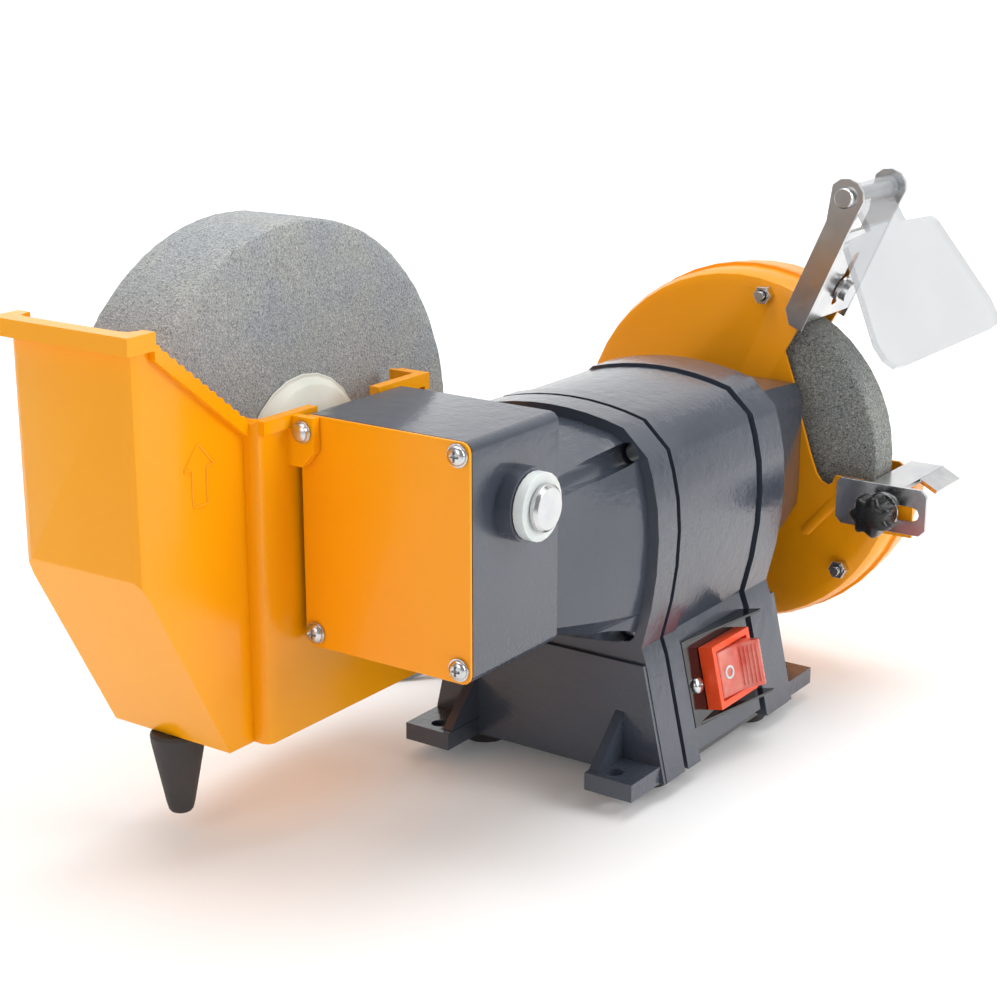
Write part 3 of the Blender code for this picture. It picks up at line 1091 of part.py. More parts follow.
def build_dry_side(root):
    piece("inner_guard", inner_guard(), "orange_steel", root)
    piece("outer_guard", outer_guard(), "orange_steel", root)
    for number, centre in enumerate(guard_bolt_places(), 1):
        bolt = turned([(0, GUARD_START - 8), (BOLT_RADIUS, GUARD_START - 8), (BOLT_RADIUS, GUARD_END + GAP),
                       (4.8, GUARD_END + GAP), (4.4, GUARD_END + 2.4), (2.6, GUARD_END + 3.2), (0, GUARD_END + 3.2)],
                      "X", centre, 12)
        piece(f"guard_bolt_{number}", bolt, "zinc", root)
        nut = cut(prism(circle(centre, 4.6, 6), "X", GUARD_START - 5, GUARD_START - GAP),
                  cylinder(clear(BOLT_RADIUS, 12), "X", centre, GUARD_START - 9, GUARD_START + 3, 12))
        piece(f"guard_nut_{number}", nut, "zinc", root)
    bore = clear(SPINDLE_RADIUS, 24)
    stone_end = DRY_STONE_START + DRY_STONE_WIDTH
    stone = turned_ring([(bore, DRY_STONE_START), (DRY_STONE_RADIUS - 0.8, DRY_STONE_START),
                         (DRY_STONE_RADIUS, DRY_STONE_START + 0.8), (DRY_STONE_RADIUS, stone_end - 0.8),
                         (DRY_STONE_RADIUS - 0.8, stone_end), (bore, stone_end)], "X", (0, 0), 40)
    piece("dry_stone", stone, "dry_grit", root)
    for name, seat, way in (("dry_flange_inner", DRY_STONE_START - GAP, -1), ("dry_flange_outer", stone_end + GAP, 1)):
        edge = seat + way * (DRY_FLANGE_WIDTH - 2 * GAP)
        flange = turned_ring([(bore, seat), (DRY_FLANGE_RADIUS, seat), (DRY_FLANGE_RADIUS, seat + way * 1.8),
                              (14.0, edge), (bore, edge)], "X", (0, 0))
        piece(name, flange, "steel", root)
    nut_seat = stone_end + DRY_FLANGE_WIDTH
    nut = cut(prism(circle((0, 0), 11.0, 6), "X", nut_seat, nut_seat + 7),
              cylinder(bore, "X", (0, 0), nut_seat - 4, nut_seat + 12, 24))
    piece("spindle_nut", nut, "zinc", root)
    pin = (SHIELD_MIDDLE, *radial_frame(*BRACKET_PIN))
    screw_place = (SHIELD_MIDDLE, *radial_frame(BRACKET_SLOT[0] + 10.0, 0))
    piece("shield_bracket", shield_bracket(), "zinc", root, screw_place)
    piece("bracket_screw", bracket_screw(), "zinc", root, screw_place)
    piece("hinge_pin", hinge_pin(), "zinc", root, pin)
    piece("eye_shield", eye_shield(), "clear_plastic", root, pin)
    piece("tool_rest", tool_rest(), "zinc", root, (REST_START, *REST_STUD))
    piece("rest_knob", rest_knob(), "black_plastic", root, (REST_START, *REST_STUD))


# ---- the whole machine --------------------------------------------------------------------------
def stand_on_floor(root, left_out):
    """Move the root so that the machine's box, without its cord, is centred and stands at z = 0."""
    bpy.context.view_layer.update()
    corners = []
    for item in bpy.data.objects:
        if item.type == "MESH" and item.name not in left_out:
            corners += [item.matrix_world @ vertex.co for vertex in item.data.vertices]
    low = [min(corner[i] for corner in corners) for i in range(3)]
    high = [max(corner[i] for corner in corners) for i in range(3)]
    root.location = (-(low[0] + high[0]) / 2, -(low[1] + high[1]) / 2, -low[2])
    bpy.context.view_layer.update()


def main():
    clear_scene()
    root = bpy.data.objects.new("bench_grinder", None)
    bpy.context.scene.collection.objects.link(root)
    build_motor(root)
    build_switch(root)
    build_cord(root)
    build_wet_side(root)
    build_dry_side(root)
    stand_on_floor(root, ("cord_gland", "cord_coil", "power_plug"))


main()
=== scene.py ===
"""Looks of the bench grinder: finer skins, small details, materials, the mains lead, floor, light, camera."""
import math

import bmesh
import bpy
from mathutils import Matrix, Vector

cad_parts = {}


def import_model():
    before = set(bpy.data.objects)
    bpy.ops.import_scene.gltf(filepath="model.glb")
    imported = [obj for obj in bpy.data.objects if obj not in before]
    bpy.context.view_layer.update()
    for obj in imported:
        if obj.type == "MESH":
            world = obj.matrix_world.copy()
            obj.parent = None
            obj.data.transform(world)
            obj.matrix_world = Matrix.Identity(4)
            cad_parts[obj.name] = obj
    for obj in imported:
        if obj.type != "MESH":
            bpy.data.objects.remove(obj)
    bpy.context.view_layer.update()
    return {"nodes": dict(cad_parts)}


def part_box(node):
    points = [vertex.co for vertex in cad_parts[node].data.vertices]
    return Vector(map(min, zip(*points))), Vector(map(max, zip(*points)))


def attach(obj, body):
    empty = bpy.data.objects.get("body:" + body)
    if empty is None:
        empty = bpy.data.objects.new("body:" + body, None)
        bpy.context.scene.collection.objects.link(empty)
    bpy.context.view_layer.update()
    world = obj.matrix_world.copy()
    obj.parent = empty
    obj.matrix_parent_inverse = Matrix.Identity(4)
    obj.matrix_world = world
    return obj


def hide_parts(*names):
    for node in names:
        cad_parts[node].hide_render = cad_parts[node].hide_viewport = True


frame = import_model()

MM = 0.001
TAU = 2 * math.pi
SHARP_ANGLE = 32.0                          # in degrees, where a face turns into another with a clear edge

# Sizes and places are millimetres in the motor's own coordinates: X runs along the shaft from the gearbox
# cover, Y away from the operator, and Z up from the shaft.
OFFSET = Vector((-140.65, -7.3, 113.0))     # where the frame has the shaft at the cover
FLOOR = -113.0
BASE_SLOPE_TOP = (50.7, -53.2)              # top edge of the base's sloping face: how far forwards, and Z
BASE_SLOPE_FOOT = (62.5, -105.0)
BASE_SLOPE = math.atan2(BASE_SLOPE_FOOT[0] - BASE_SLOPE_TOP[0], BASE_SLOPE_TOP[1] - BASE_SLOPE_FOOT[1])

OUTPUT_SHAFT = (31.0, 38.5)                 # X and Z of its middle
WET_STONE_RADIUS = 99.8
WET_STONE_FACES = (68.0, 108.0)
WET_STONE_BORE = 7.35
WET_STONE_RECESS = (34.0, 14.0)             # radius and depth
DRY_STONE_RADIUS = 74.8
DRY_STONE_FACES = (286.0, 306.0)
DRY_STONE_BORE = 6.7

COVER_FACE = -0.3                           # where the cover screws' washers lie
PLATE_SCREW = (150.0, -20.5)                # X and distance down the sloping face
ROCKER_MIDDLE = 173.0
ROCKER_DOWN = -19.5                         # middle of the rocker, down the sloping face
REST_STUD = (-84.5, -17.0)                  # Y and Z
GUARD_FACE = 279.4                          # just inside the guard's motor side
TROUGH_FACE = 53.3                          # just inside the trough's front wall


def world(x, y, z):
    """A point of the motor's coordinates, in metres in the frame."""
    return (Vector((x, y, z)) + OFFSET) * MM


# ---- cord, from the gland to the coil ----------------------------------------------------------
CORD_ROUTE = [
    (185.0, 71.5, -92.0), (185.0, 78.0, -92.0), (184.6, 86.0, -93.4), (182.3, 95.0, -97.4),
    (177.8, 103.2, -102.6), (171.3, 110.2, -106.9), (164.4, 116.0, -109.0), (158.1, 121.8, -109.3),
    (153.2, 128.0, -109.3), (150.1, 135.2, -109.3), (149.0, 143.0, -109.3), (150.1, 150.9, -109.3),
    (153.2, 158.2, -109.3), (158.3, 164.6, -109.3), (165.0, 169.8, -109.3), (180.0, 178.2, -109.3),
    (197.0, 186.0, -109.3)]
CORD_DIAMETER = 7.0
CORD_STEP = 6.0                             # between the points that the lead is drawn with
COIL_CENTRE = (236.0, 152.0)
COIL_OUTER = 45.3                           # radius of the outermost turns' middle line
COIL_MIDDLE = 38.5                          # radius of the bundle's middle
COIL_PITCH = 7.05                           # from one turn to the next
COIL_LAYER = 7.1                            # from the lower layer up to the upper one
COIL_TURNS = 6
COIL_STEPS = 28                             # points in a turn
COIL_START = 120.0                          # degrees


def smooth_route(points, spacing):
    """Points at even steps along a smooth curve through the chosen ones."""
    nodes = [Vector(point) for point in points]
    nodes = [2 * nodes[0] - nodes[1]] + nodes + [2 * nodes[-1] - nodes[-2]]
    dense = []
    for a, b, c, d in zip(nodes, nodes[1:], nodes[2:], nodes[3:]):
        for step in range(24):
            t = step / 24
            dense.append(0.5 * (2 * b + (c - a) * t + (2 * a - 5 * b + 4 * c - d) * t * t
                                + (3 * b - a - 3 * c + d) * t ** 3))
    dense.append(nodes[-2])
    even, travelled = [dense[0]], 0.0
    for first, second in zip(dense, dense[1:]):
        travelled += (second - first).length
        if travelled >= spacing:
            even.append(second)
            travelled = 0.0
    even[-1] = dense[-1]
    return even


def coil_points():
    """Two layers of three turns, clockwise from above: inwards on the floor, then outwards on top."""
    half = COIL_TURNS / 2
    points = []
    for i in range(COIL_TURNS * COIL_STEPS + round(COIL_STEPS / 6) + 1):
        turn = i / COIL_STEPS
        angle = math.radians(COIL_START) - TAU * turn
        inward = turn if turn < half else COIL_TURNS - turn
        radius = COIL_OUTER - COIL_PITCH * max(0.0, min(2.0, inward * 2 / 2.6 - 0.1))
        rise = min(1.0, max(0.0, (turn - 2.75) / 0.5))
        height = 3.7 + COIL_LAYER * rise
        points.append((COIL_CENTRE[0] + radius * math.cos(angle), COIL_CENTRE[1] + radius * math.sin(angle),
                       FLOOR + height))
    return points


def cord_points():
    """The whole lead's middle line: its route from the gland, the coil, and a tail that sinks to the plug."""
    coil = coil_points()
    end = Vector(coil[-1])
    away = (end - Vector(coil[-2])).normalized()
    tail = [tuple(end + away * reach - Vector((0, 0, drop)))
            for reach, drop in ((14.0, 0.8), (30.0, 2.4), (42.0, 3.2))]
    return smooth_route(CORD_ROUTE + coil[1:] + tail, CORD_STEP)


def place_camera():
    """Long lens, from the wet stone's end and the operator's side, a little above."""
    data = bpy.data.cameras.new("camera")
    data.lens = 71.96
    data.sensor_width = 36.0
    data.clip_start = 0.05
    data.clip_end = 20.0
    camera = bpy.data.objects.new("camera", data)
    bpy.context.scene.collection.objects.link(camera)
    camera.location = world(-579.55, -459.28, 258.33)
    camera.rotation_euler = (math.radians(90 - 16.47), 0.0, math.radians(34.98 - 90))
    bpy.context.scene.camera = camera


# ---- node helpers for materials -----------------------------------------------------------------
class Shade:
    """A material being wired: its tree, its Principled shader and its object coordinates."""

    def __init__(self, name, colour, roughness, metallic=0.0, **sockets):
        self.material = bpy.data.materials.new(name)
        self.material.use_nodes = True
        self.nodes = self.material.node_tree.nodes
        self.links = self.material.node_tree.links
        self.shader = self.nodes["Principled BSDF"]
        self.coords = self.nodes.new("ShaderNodeTexCoord")
        self.set("Base Color", (*colour, 1.0))
        self.set("Roughness", roughness)
        self.set("Metallic", metallic)
        for socket, value in sockets.items():
            self.set(socket.replace("_", " "), value)

    def set(self, socket, value):
        self.shader.inputs[socket].default_value = value

    def noise(self, scale, detail=3.0, roughness=0.55, stretch=None):
        node = self.nodes.new("ShaderNodeTexNoise")
        node.inputs["Scale"].default_value = scale
        node.inputs["Detail"].default_value = detail
        node.inputs["Roughness"].default_value = roughness
        source = self.coords.outputs["Object"]
        if stretch:
            mapping = self.nodes.new("ShaderNodeMapping")
            mapping.inputs["Scale"].default_value = stretch
            self.links.new(source, mapping.inputs["Vector"])
            source = mapping.outputs["Vector"]
        self.links.new(source, node.inputs["Vector"])
        return node.outputs["Fac"]

    def grains(self, scale):
        """Cell colours and distances of grains of about 1 / scale metres."""
        node = self.nodes.new("ShaderNodeTexVoronoi")
        node.inputs["Scale"].default_value = scale
        self.links.new(self.coords.outputs["Object"], node.inputs["Vector"])
        return node.outputs["Color"], node.outputs["Distance"]

    def ramp(self, source, stops):
        """Colours between the stops, each a (position, colour)."""
        node = self.nodes.new("ShaderNodeValToRGB")
        elements = node.color_ramp.elements
        while len(elements) < len(stops):
            elements.new(0.5)
        for element, (position, colour) in zip(elements, stops):
            element.position = position
            element.color = (*colour, 1.0)
        self.links.new(source, node.inputs["Fac"])
        return node.outputs["Color"]

    def span(self, source, low, high):
        """A value from 0 to 1, stretched from low to high."""
        node = self.nodes.new("ShaderNodeMapRange")
        node.inputs["To Min"].default_value = low
        node.inputs["To Max"].default_value = high
        self.links.new(source, node.inputs["Value"])
        return node.outputs["Result"]

    def blend(self, first, second, share, mode="MIX"):
        node = self.nodes.new("ShaderNodeMix")
        node.data_type = "RGBA"
        node.blend_type = mode
        for socket, source in (("A", first), ("B", second)):
            slots = [item for item in node.inputs if item.name == socket and item.type == "RGBA"]
            self.links.new(source, slots[0])
        factor = [item for item in node.inputs if item.name == "Factor" and item.type == "VALUE"][0]
        factor.default_value = share
        return [item for item in node.outputs if item.type == "RGBA"][0]

    def bump(self, height, strength, distance, under=None):
        node = self.nodes.new("ShaderNodeBump")
        node.inputs["Strength"].default_value = strength
        node.inputs["Distance"].default_value = distance
        self.links.new(height, node.inputs["Height"])
        if under is not None:
            self.links.new(under, node.inputs["Normal"])
        return node.outputs["Normal"]

    def drive(self, socket, source):
        self.links.new(source, self.shader.inputs[socket])


def painted_casting():
    """Slate-grey stove enamel with an orange-peel skin over a cast surface."""
    shade = Shade("slate_paint", (0.050, 0.060, 0.082), 0.2, Coat_Weight=0.5, Coat_Roughness=0.10)
    tint = shade.ramp(shade.noise(9.0, 2.0), [
        (0.35, (0.045, 0.054, 0.074)), (0.65, (0.056, 0.066, 0.090))])
    shade.drive("Base Color", tint)
    shade.drive("Roughness", shade.span(shade.noise(260.0, 2.0), 0.16, 0.30))
    coarse = shade.bump(shade.noise(150.0, 2.0, 0.5), 0.32, 0.0006)
    skin = shade.bump(shade.noise(480.0, 3.0, 0.6), 0.38, 0.0003, coarse)
    shade.drive("Normal", skin)
    shade.drive("Coat Normal", skin)
    return shade.material


def orange_coat(name, colour, deep, peel, gloss):
    """Orange stove enamel or moulded plastic: a faint mottle and a fine skin."""
    shade = Shade(name, colour, gloss, Coat_Weight=0.12, Coat_Roughness=0.08, Specular_IOR_Level=0.32)
    shade.drive("Base Color", shade.ramp(shade.noise(7.0, 2.0), [(0.3, deep), (0.7, colour)]))
    shade.drive("Roughness", shade.span(shade.noise(140.0, 2.0), gloss - 0.05, gloss + 0.07))
    shade.drive("Normal", shade.bump(shade.noise(peel, 2.0), 0.16, 0.0002))
    return shade.material


def zinc_plate():
    """Bright zinc: fine drawn lines, cloudy patches and slightly dull spots."""
    shade = Shade("zinc", (0.62, 0.63, 0.64), 0.22, 1.0)
    cloud = shade.noise(75.0, 4.0)
    shade.drive("Base Color", shade.ramp(cloud, [(0.3, (0.55, 0.56, 0.58)), (0.7, (0.68, 0.68, 0.67))]))
    shade.drive("Roughness", shade.span(shade.noise(240.0, 3.0), 0.16, 0.27))
    shade.drive("Normal", shade.bump(shade.noise(900.0, 2.0, 0.5, (1.0, 1.0, 0.12)), 0.04, 0.0001))
    return shade.material


def machined(name, colour, roughness):
    """Turned metal with fine tool lines round the X axis."""
    shade = Shade(name, colour, roughness, 1.0)
    lines = shade.noise(1400.0, 2.0, 0.5, (1.0, 0.06, 0.06))
    shade.drive("Roughness", shade.span(lines, roughness - 0.1, roughness + 0.12))
    shade.drive("Base Color", shade.ramp(shade.noise(60.0, 3.0), [
        (0.3, tuple(0.82 * part for part in colour)), (0.7, colour)]))
    shade.drive("Normal", shade.bump(lines, 0.12, 0.0001))
    return shade.material


def laminations():
    """Edges of the core's thin sheets, stacked along X."""
    shade = Shade("lamination", (0.22, 0.22, 0.24), 0.5, 0.9)
    sheets = shade.noise(2000.0, 1.0, 0.5, (1.0, 0.02, 0.02))
    shade.drive("Base Color", shade.ramp(sheets, [(0.4, (0.08, 0.08, 0.09)), (0.6, (0.30, 0.30, 0.32))]))
    shade.drive("Normal", shade.bump(sheets, 0.4, 0.0002))
    return shade.material


def winding_copper():
    """Enamelled strands that run along X."""
    shade = Shade("copper", (0.62, 0.25, 0.09), 0.35, 0.85, Coat_Weight=0.5)
    strands = shade.noise(900.0, 2.0, 0.5, (0.15, 1.0, 1.0))
    shade.drive("Base Color", shade.ramp(strands, [(0.35, (0.30, 0.10, 0.04)), (0.65, (0.70, 0.30, 0.11))]))
    shade.drive("Normal", shade.bump(strands, 0.6, 0.0004))
    return shade.material


def grit(name, grain, dark, middle, pale, speck, depth):
    """Bonded abrasive: grains of several greys, dark pores, glinting specks and a rough surface."""
    shade = Shade(name, middle, 0.92, Specular_IOR_Level=0.35)
    cells, distance = shade.grains(grain)
    fine, _ = shade.grains(grain * 2.1)
    greys = shade.ramp(cells, [(0.12, dark), (0.40, middle), (0.72, middle), (0.95, pale)])
    specks = shade.ramp(fine, [(0.20, dark), (0.5, middle), (0.86, pale), (0.97, speck)])
    mixed = shade.blend(greys, specks, 0.5)
    patches = shade.ramp(shade.noise(42.0, 4.0), [(0.3, (0.86, 0.88, 0.93)), (0.7, (1.0, 0.985, 0.95))])
    shade.drive("Base Color", shade.blend(mixed, patches, 1.0, "MULTIPLY"))
    pits = shade.bump(distance, 0.75, depth)
    shade.drive("Normal", shade.bump(shade.noise(grain * 1.7, 4.0, 0.7), 0.65, depth, pits))
    shade.drive("Roughness", shade.span(fine, 0.55, 1.0))
    return shade.material


def moulded(name, colour, roughness, texture=500.0, strength=0.2, **sockets):
    """Moulded plastic or rubber with a fine spark-eroded grain."""
    shade = Shade(name, colour, roughness, **sockets)
    lift = tuple(min(1.0, 1.18 * part + 0.002) for part in colour)
    shade.drive("Base Color", shade.ramp(shade.noise(35.0, 3.0), [(0.35, colour), (0.75, lift)]))
    shade.drive("Roughness", shade.span(shade.noise(texture * 0.5, 2.0), roughness - 0.06, roughness + 0.08))
    shade.drive("Normal", shade.bump(shade.noise(texture, 3.0), strength, 0.0002))
    return shade.material


def clear_sheet():
    """Clear polycarbonate seen through without bending, with a faint grey tint and soft reflections."""
    shade = Shade("clear_plastic", (0.42, 0.44, 0.46), 0.06, Alpha=0.42, Specular_IOR_Level=0.6)
    shade.drive("Base Color", shade.ramp(shade.noise(22.0, 2.0), [
        (0.3, (0.40, 0.42, 0.44)), (0.7, (0.46, 0.48, 0.50))]))
    shade.drive("Roughness", shade.span(shade.noise(30.0, 3.0), 0.03, 0.10))
    shade.drive("Normal", shade.bump(shade.noise(14.0, 1.0), 0.04, 0.0004))
    return shade.material


def see_through_red():
    """Clear red cap of the rocker, partly see-through, its red mottled from deeper to lighter at random."""
    shade = Shade("rocker_red", (1.0, 0.24, 0.18), 0.12, Transmission_Weight=0.45, IOR=1.45, Coat_Weight=0.4)
    shade.drive("Base Color", shade.ramp(shade.noise(120.0, 2.0), [
        (0.3, (0.95, 0.13, 0.08)), (0.7, (1.0, 0.36, 0.28))]))
    shade.drive("Normal", shade.bump(shade.noise(240.0, 2.0), 0.1, 0.0002))
    return shade.material


def make_materials():
    """A material for each of the record's slots."""
    return {
        "slate_paint": painted_casting(),
        "orange_steel": orange_coat(
            "orange_steel", (1.0, 0.375, 0.0), (0.97, 0.335, 0.0), 420.0, 0.30),
        "orange_plastic": orange_coat(
            "orange_plastic", (1.0, 0.410, 0.0), (0.99, 0.370, 0.0), 160.0, 0.22),
        "zinc": zinc_plate(),
        "steel": machined("steel", (0.52, 0.52, 0.53), 0.3),
        "lamination": laminations(),
        "copper": winding_copper(),
        "bronze": machined("bronze", (0.60, 0.38, 0.14), 0.35),
        "black_steel": moulded("black_steel", (0.005, 0.005, 0.006), 0.14, 300.0, 0.06, Coat_Weight=0.6),
        "rubber": moulded("rubber", (0.038, 0.033, 0.033), 0.62, 700.0, 0.25),
        "black_plastic": moulded("black_plastic", (0.008, 0.008, 0.009), 0.26, 600.0, 0.2),
        "nylon": moulded("nylon", (0.66, 0.66, 0.65), 0.35, 300.0, 0.08, Subsurface_Weight=0.15),
        "cream_plastic": moulded(
            "cream_plastic", (0.74, 0.71, 0.62), 0.42, 300.0, 0.1, Subsurface_Weight=0.1),
        "wet_grit": grit(
            "wet_grit", 1150.0, (0.17, 0.18, 0.185), (0.40, 0.42, 0.425), (0.62, 0.63, 0.61),
            (0.88, 0.88, 0.84), 0.0004),
        "dry_grit": grit(
            "dry_grit", 1250.0, (0.05, 0.053, 0.052), (0.30, 0.315, 0.30), (0.66, 0.67, 0.61),
            (0.95, 0.94, 0.86), 0.0006),
        "switch_red": moulded("switch_red", (0.93, 0.075, 0.012), 0.3, 350.0, 0.08),
        "rocker_red": see_through_red(),
        "clear_plastic": clear_sheet(),
        "cord_grey": moulded("cord_grey", (0.30, 0.31, 0.33), 0.5, 500.0, 0.12),
    }


# ---- mesh helpers -------------------------------------------------------------------------------
def place(u, v, w, axis):
    """A point from its two coordinates across an axis and its coordinate along it."""
    return {"X": (w, u, v), "Y": (u, w, v), "Z": (u, v, w)}[axis]


def ring_mesh(rings, closed=False, poles=(None, None)):
    """Mesh lofted through rings of points. Closed joins the last ring to the first; a pole ends in a tip."""
    mesh = bmesh.new()
    rows = [[mesh.verts.new(world(*point)) for point in ring] for ring in rings]
    count = len(rows[0])
    pairs = list(zip(rows, rows[1:])) + ([(rows[-1], rows[0])] if closed else [])
    for low, high in pairs:
        for i in range(count):
            j = (i + 1) % count
            mesh.faces.new((low[i], low[j], high[j], high[i]))
    if not closed:
        for row, pole in ((rows[0], poles[0]), (rows[-1], poles[1])):
            if pole is None:
                mesh.faces.new(row)
            else:
                tip = mesh.verts.new(world(*pole))
                for i in range(count):
                    mesh.faces.new((row[i], row[(i + 1) % count], tip))
    bmesh.ops.recalc_face_normals(mesh, faces=mesh.faces)
    return mesh


def circle(centre, radius, segments):
    return [(centre[0] + radius * math.cos(TAU * i / segments),
             centre[1] + radius * math.sin(TAU * i / segments)) for i in range(segments)]


def prism(outline, axis, start, end):
    """Outline drawn out along an axis."""
    return ring_mesh([[place(u, v, w, axis) for u, v in outline] for w in (start, end)])


def turned_ring(profile, axis, centre, segments):
    """Ring turned from a closed profile of (radius, distance along the axis)."""
    rings = [[place(u, v, w, axis) for u, v in circle(centre, radius, segments)] for radius, w in profile]
    return ring_mesh(rings, closed=True)


def turned(profile, axis, centre, segments):
    """Solid turned from a profile of (radius, distance along the axis) that starts and ends on the axis."""
    rings = [[place(u, v, w, axis) for u, v in circle(centre, radius, segments)]
             for radius, w in profile[1:-1]]
    poles = [place(*centre, profile[i][1], axis) for i in (0, -1)]
    return ring_mesh(rings, poles=poles)


def rounded(corners, radius, steps):
    """Closed outline with its corners rounded off."""
    points = []
    for i, corner in enumerate(corners):
        here = Vector(corner)
        before = Vector(corners[i - 1]) - here
        after = Vector(corners[(i + 1) % len(corners)]) - here
        reach = min(radius, 0.45 * before.length, 0.45 * after.length)
        first, last = here + before.normalized() * reach, here + after.normalized() * reach
        for step in range(steps + 1):
            t = step / steps
            points.append(tuple((1 - t) ** 2 * first + 2 * t * (1 - t) * here + t * t * last))
    return points


def as_object(name, mesh, flat_angle=SHARP_ANGLE):
    """Put a mesh in the scene, smooth except across edges sharper than the given angle."""
    for edge in mesh.edges:
        edge.smooth = len(edge.link_faces) == 2 and edge.calc_face_angle(0.0) < math.radians(flat_angle)
    for face in mesh.faces:
        face.smooth = True
    data = bpy.data.meshes.new(name)
    mesh.to_mesh(data)
    mesh.free()
    thing = bpy.data.objects.new(name, data)
    bpy.context.scene.collection.objects.link(thing)
    return thing


def cut_one(body, tool):
    """One mesh with another taken out of it."""
    first, second = as_object("body", body), as_object("tool", tool)
    step = first.modifiers.new("cut", "BOOLEAN")
    step.operation = "DIFFERENCE"
    step.solver = "EXACT"
    step.object = second
    evaluated = first.evaluated_get(bpy.context.evaluated_depsgraph_get())
    result = bmesh.new()
    result.from_mesh(evaluated.to_mesh())
    evaluated.to_mesh_clear()
    for thing in (first, second):
        data = thing.data
        bpy.data.objects.remove(thing)
        bpy.data.meshes.remove(data)
    bmesh.ops.remove_doubles(result, verts=result.verts, dist=1e-6)
    return result


def cut(body, tools):
    for tool in tools:
        body = cut_one(body, tool)
    return body


def soften(thing, width, segments=2):
    """Round the sharp edges a little and keep the flats flat."""
    step = thing.modifiers.new("soften", "BEVEL")
    step.width = width * MM
    step.segments = segments
    step.limit_method = "ANGLE"
    step.angle_limit = math.radians(SHARP_ANGLE)
    step.harden_normals = True
    step.use_clamp_overlap = True
    step.miter_outer = "MITER_ARC"


def dress(thing, body, slot, materials, width=0.0, stands_for=()):
    """Give a new piece its body, its slot's material and softened edges."""
    if width:
        soften(thing, width)
    thing.data.materials.clear()
    thing.data.materials.append(materials[slot])
    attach(thing, body)
    if stands_for:
        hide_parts(*stands_for)
    return thing


# ---- the solids as they are, with softened edges ------------------------------------------------
EDGE_WIDTHS = {
    "slate_paint": 0.9, "orange_steel": 0.45, "orange_plastic": 0.6, "zinc": 0.25, "steel": 0.3,
    "lamination": 0.2, "copper": 0.8, "bronze": 0.3, "black_steel": 0.25, "rubber": 0.6,
    "black_plastic": 0.5, "nylon": 0.35, "cream_plastic": 0.5, "wet_grit": 0.5, "dry_grit": 0.5,
    "switch_red": 0.4, "rocker_red": 0.3, "clear_plastic": 0.35, "cord_grey": 0.4}


def dress_solids(materials):
    """Every solid keeps its shape; it gets its material, welded vertices and softened edges."""
    for node in frame["nodes"].values():
        slot = node.data.materials[0].name.split(".")[0] if node.data.materials else "slate_paint"
        if slot not in materials:
            continue
        node.data.materials[0] = materials[slot]
        attribute = node.data.attributes.get("custom_normal")
        if attribute:
            node.data.attributes.remove(attribute)
        node.data.shade_smooth()
        weld = node.modifiers.new("weld", "WELD")
        weld.merge_threshold = 0.00001
        soften(node, EDGE_WIDTHS[slot], 2 if slot == "zinc" else 3)


# ---- abrasive stones ----------------------------------------------------------------------------
def roughen(mesh, depth, seed):
    """Shift every vertex by up to half the depth, for the broken outline of bonded grit."""
    state = seed
    for vertex in mesh.verts:
        shift = []
        for _ in range(3):
            state = (state * 1103515245 + 12345) % 2147483648
            shift.append(state / 2147483648 - 0.5)
        vertex.co += Vector(shift) * depth * MM
    return mesh


def stepped(start, end, step):
    """Values from start up to, but not including, end, about one step apart."""
    count = max(1, round(abs(end - start) / step))
    return [start + (end - start) * i / count for i in range(count)]


def stone_profile(outer, faces, edge, bore, recess=None):
    """Closed profile of a stone with worn edges and close rings on its rim; recess is (radius, depth)."""
    low, high = faces
    low_face = [(r, low) for r in stepped(bore, outer - edge, 7.0)]
    low_edge = [(outer - edge, low), (outer - edge * 0.35, low + edge * 0.3)]
    rim = [(outer, w) for w in stepped(low + edge, high - edge, 2.2)]
    high_edge = [(outer, high - edge), (outer - edge * 0.3, high - edge * 0.35)]
    inner = bore if recess is None else recess[0]
    high_face = [(r, high) for r in stepped(outer - edge, inner, 7.0)]
    profile = low_face + low_edge + rim + high_edge + high_face + [(inner, high)]
    if recess is not None:
        profile += [(inner, high - recess[1]), (bore, high - recess[1])]
    return profile


def build_stones(materials):
    """Both stones again, with rough faces and worn edges."""
    profile = stone_profile(WET_STONE_RADIUS, WET_STONE_FACES, 1.3, WET_STONE_BORE, WET_STONE_RECESS)
    wet = roughen(turned_ring(profile, "Y", OUTPUT_SHAFT, 240), 0.34, 17)
    dress(as_object("wet_stone_skin", wet, 60), "wet_set", "wet_grit", materials, stands_for=["wet_stone"])
    profile = stone_profile(DRY_STONE_RADIUS, DRY_STONE_FACES, 1.0, DRY_STONE_BORE)
    dry = roughen(turned_ring(profile, "X", (0.0, 0.0), 200), 0.36, 5)
    dress(as_object("dry_stone_skin", dry, 60), "rotor_set", "dry_grit", materials, stands_for=["dry_stone"])


# ---- screws, nuts and small hardware ------------------------------------------------------------
def cross_recess(axis, centre, span, slot, ends):
    """The two tapered bars of a Phillips recess; ends are (share of the span, place along the axis)."""
    bars = []
    for wide, tall in ((span, slot), (slot, span)):
        corners = ((-wide / 2, -tall / 2), (wide / 2, -tall / 2), (wide / 2, tall / 2), (-wide / 2, tall / 2))
        bars.append(ring_mesh([[place(centre[0] + u * share, centre[1] + v * share, along, axis)
                                for u, v in corners] for share, along in ends]))
    return bars


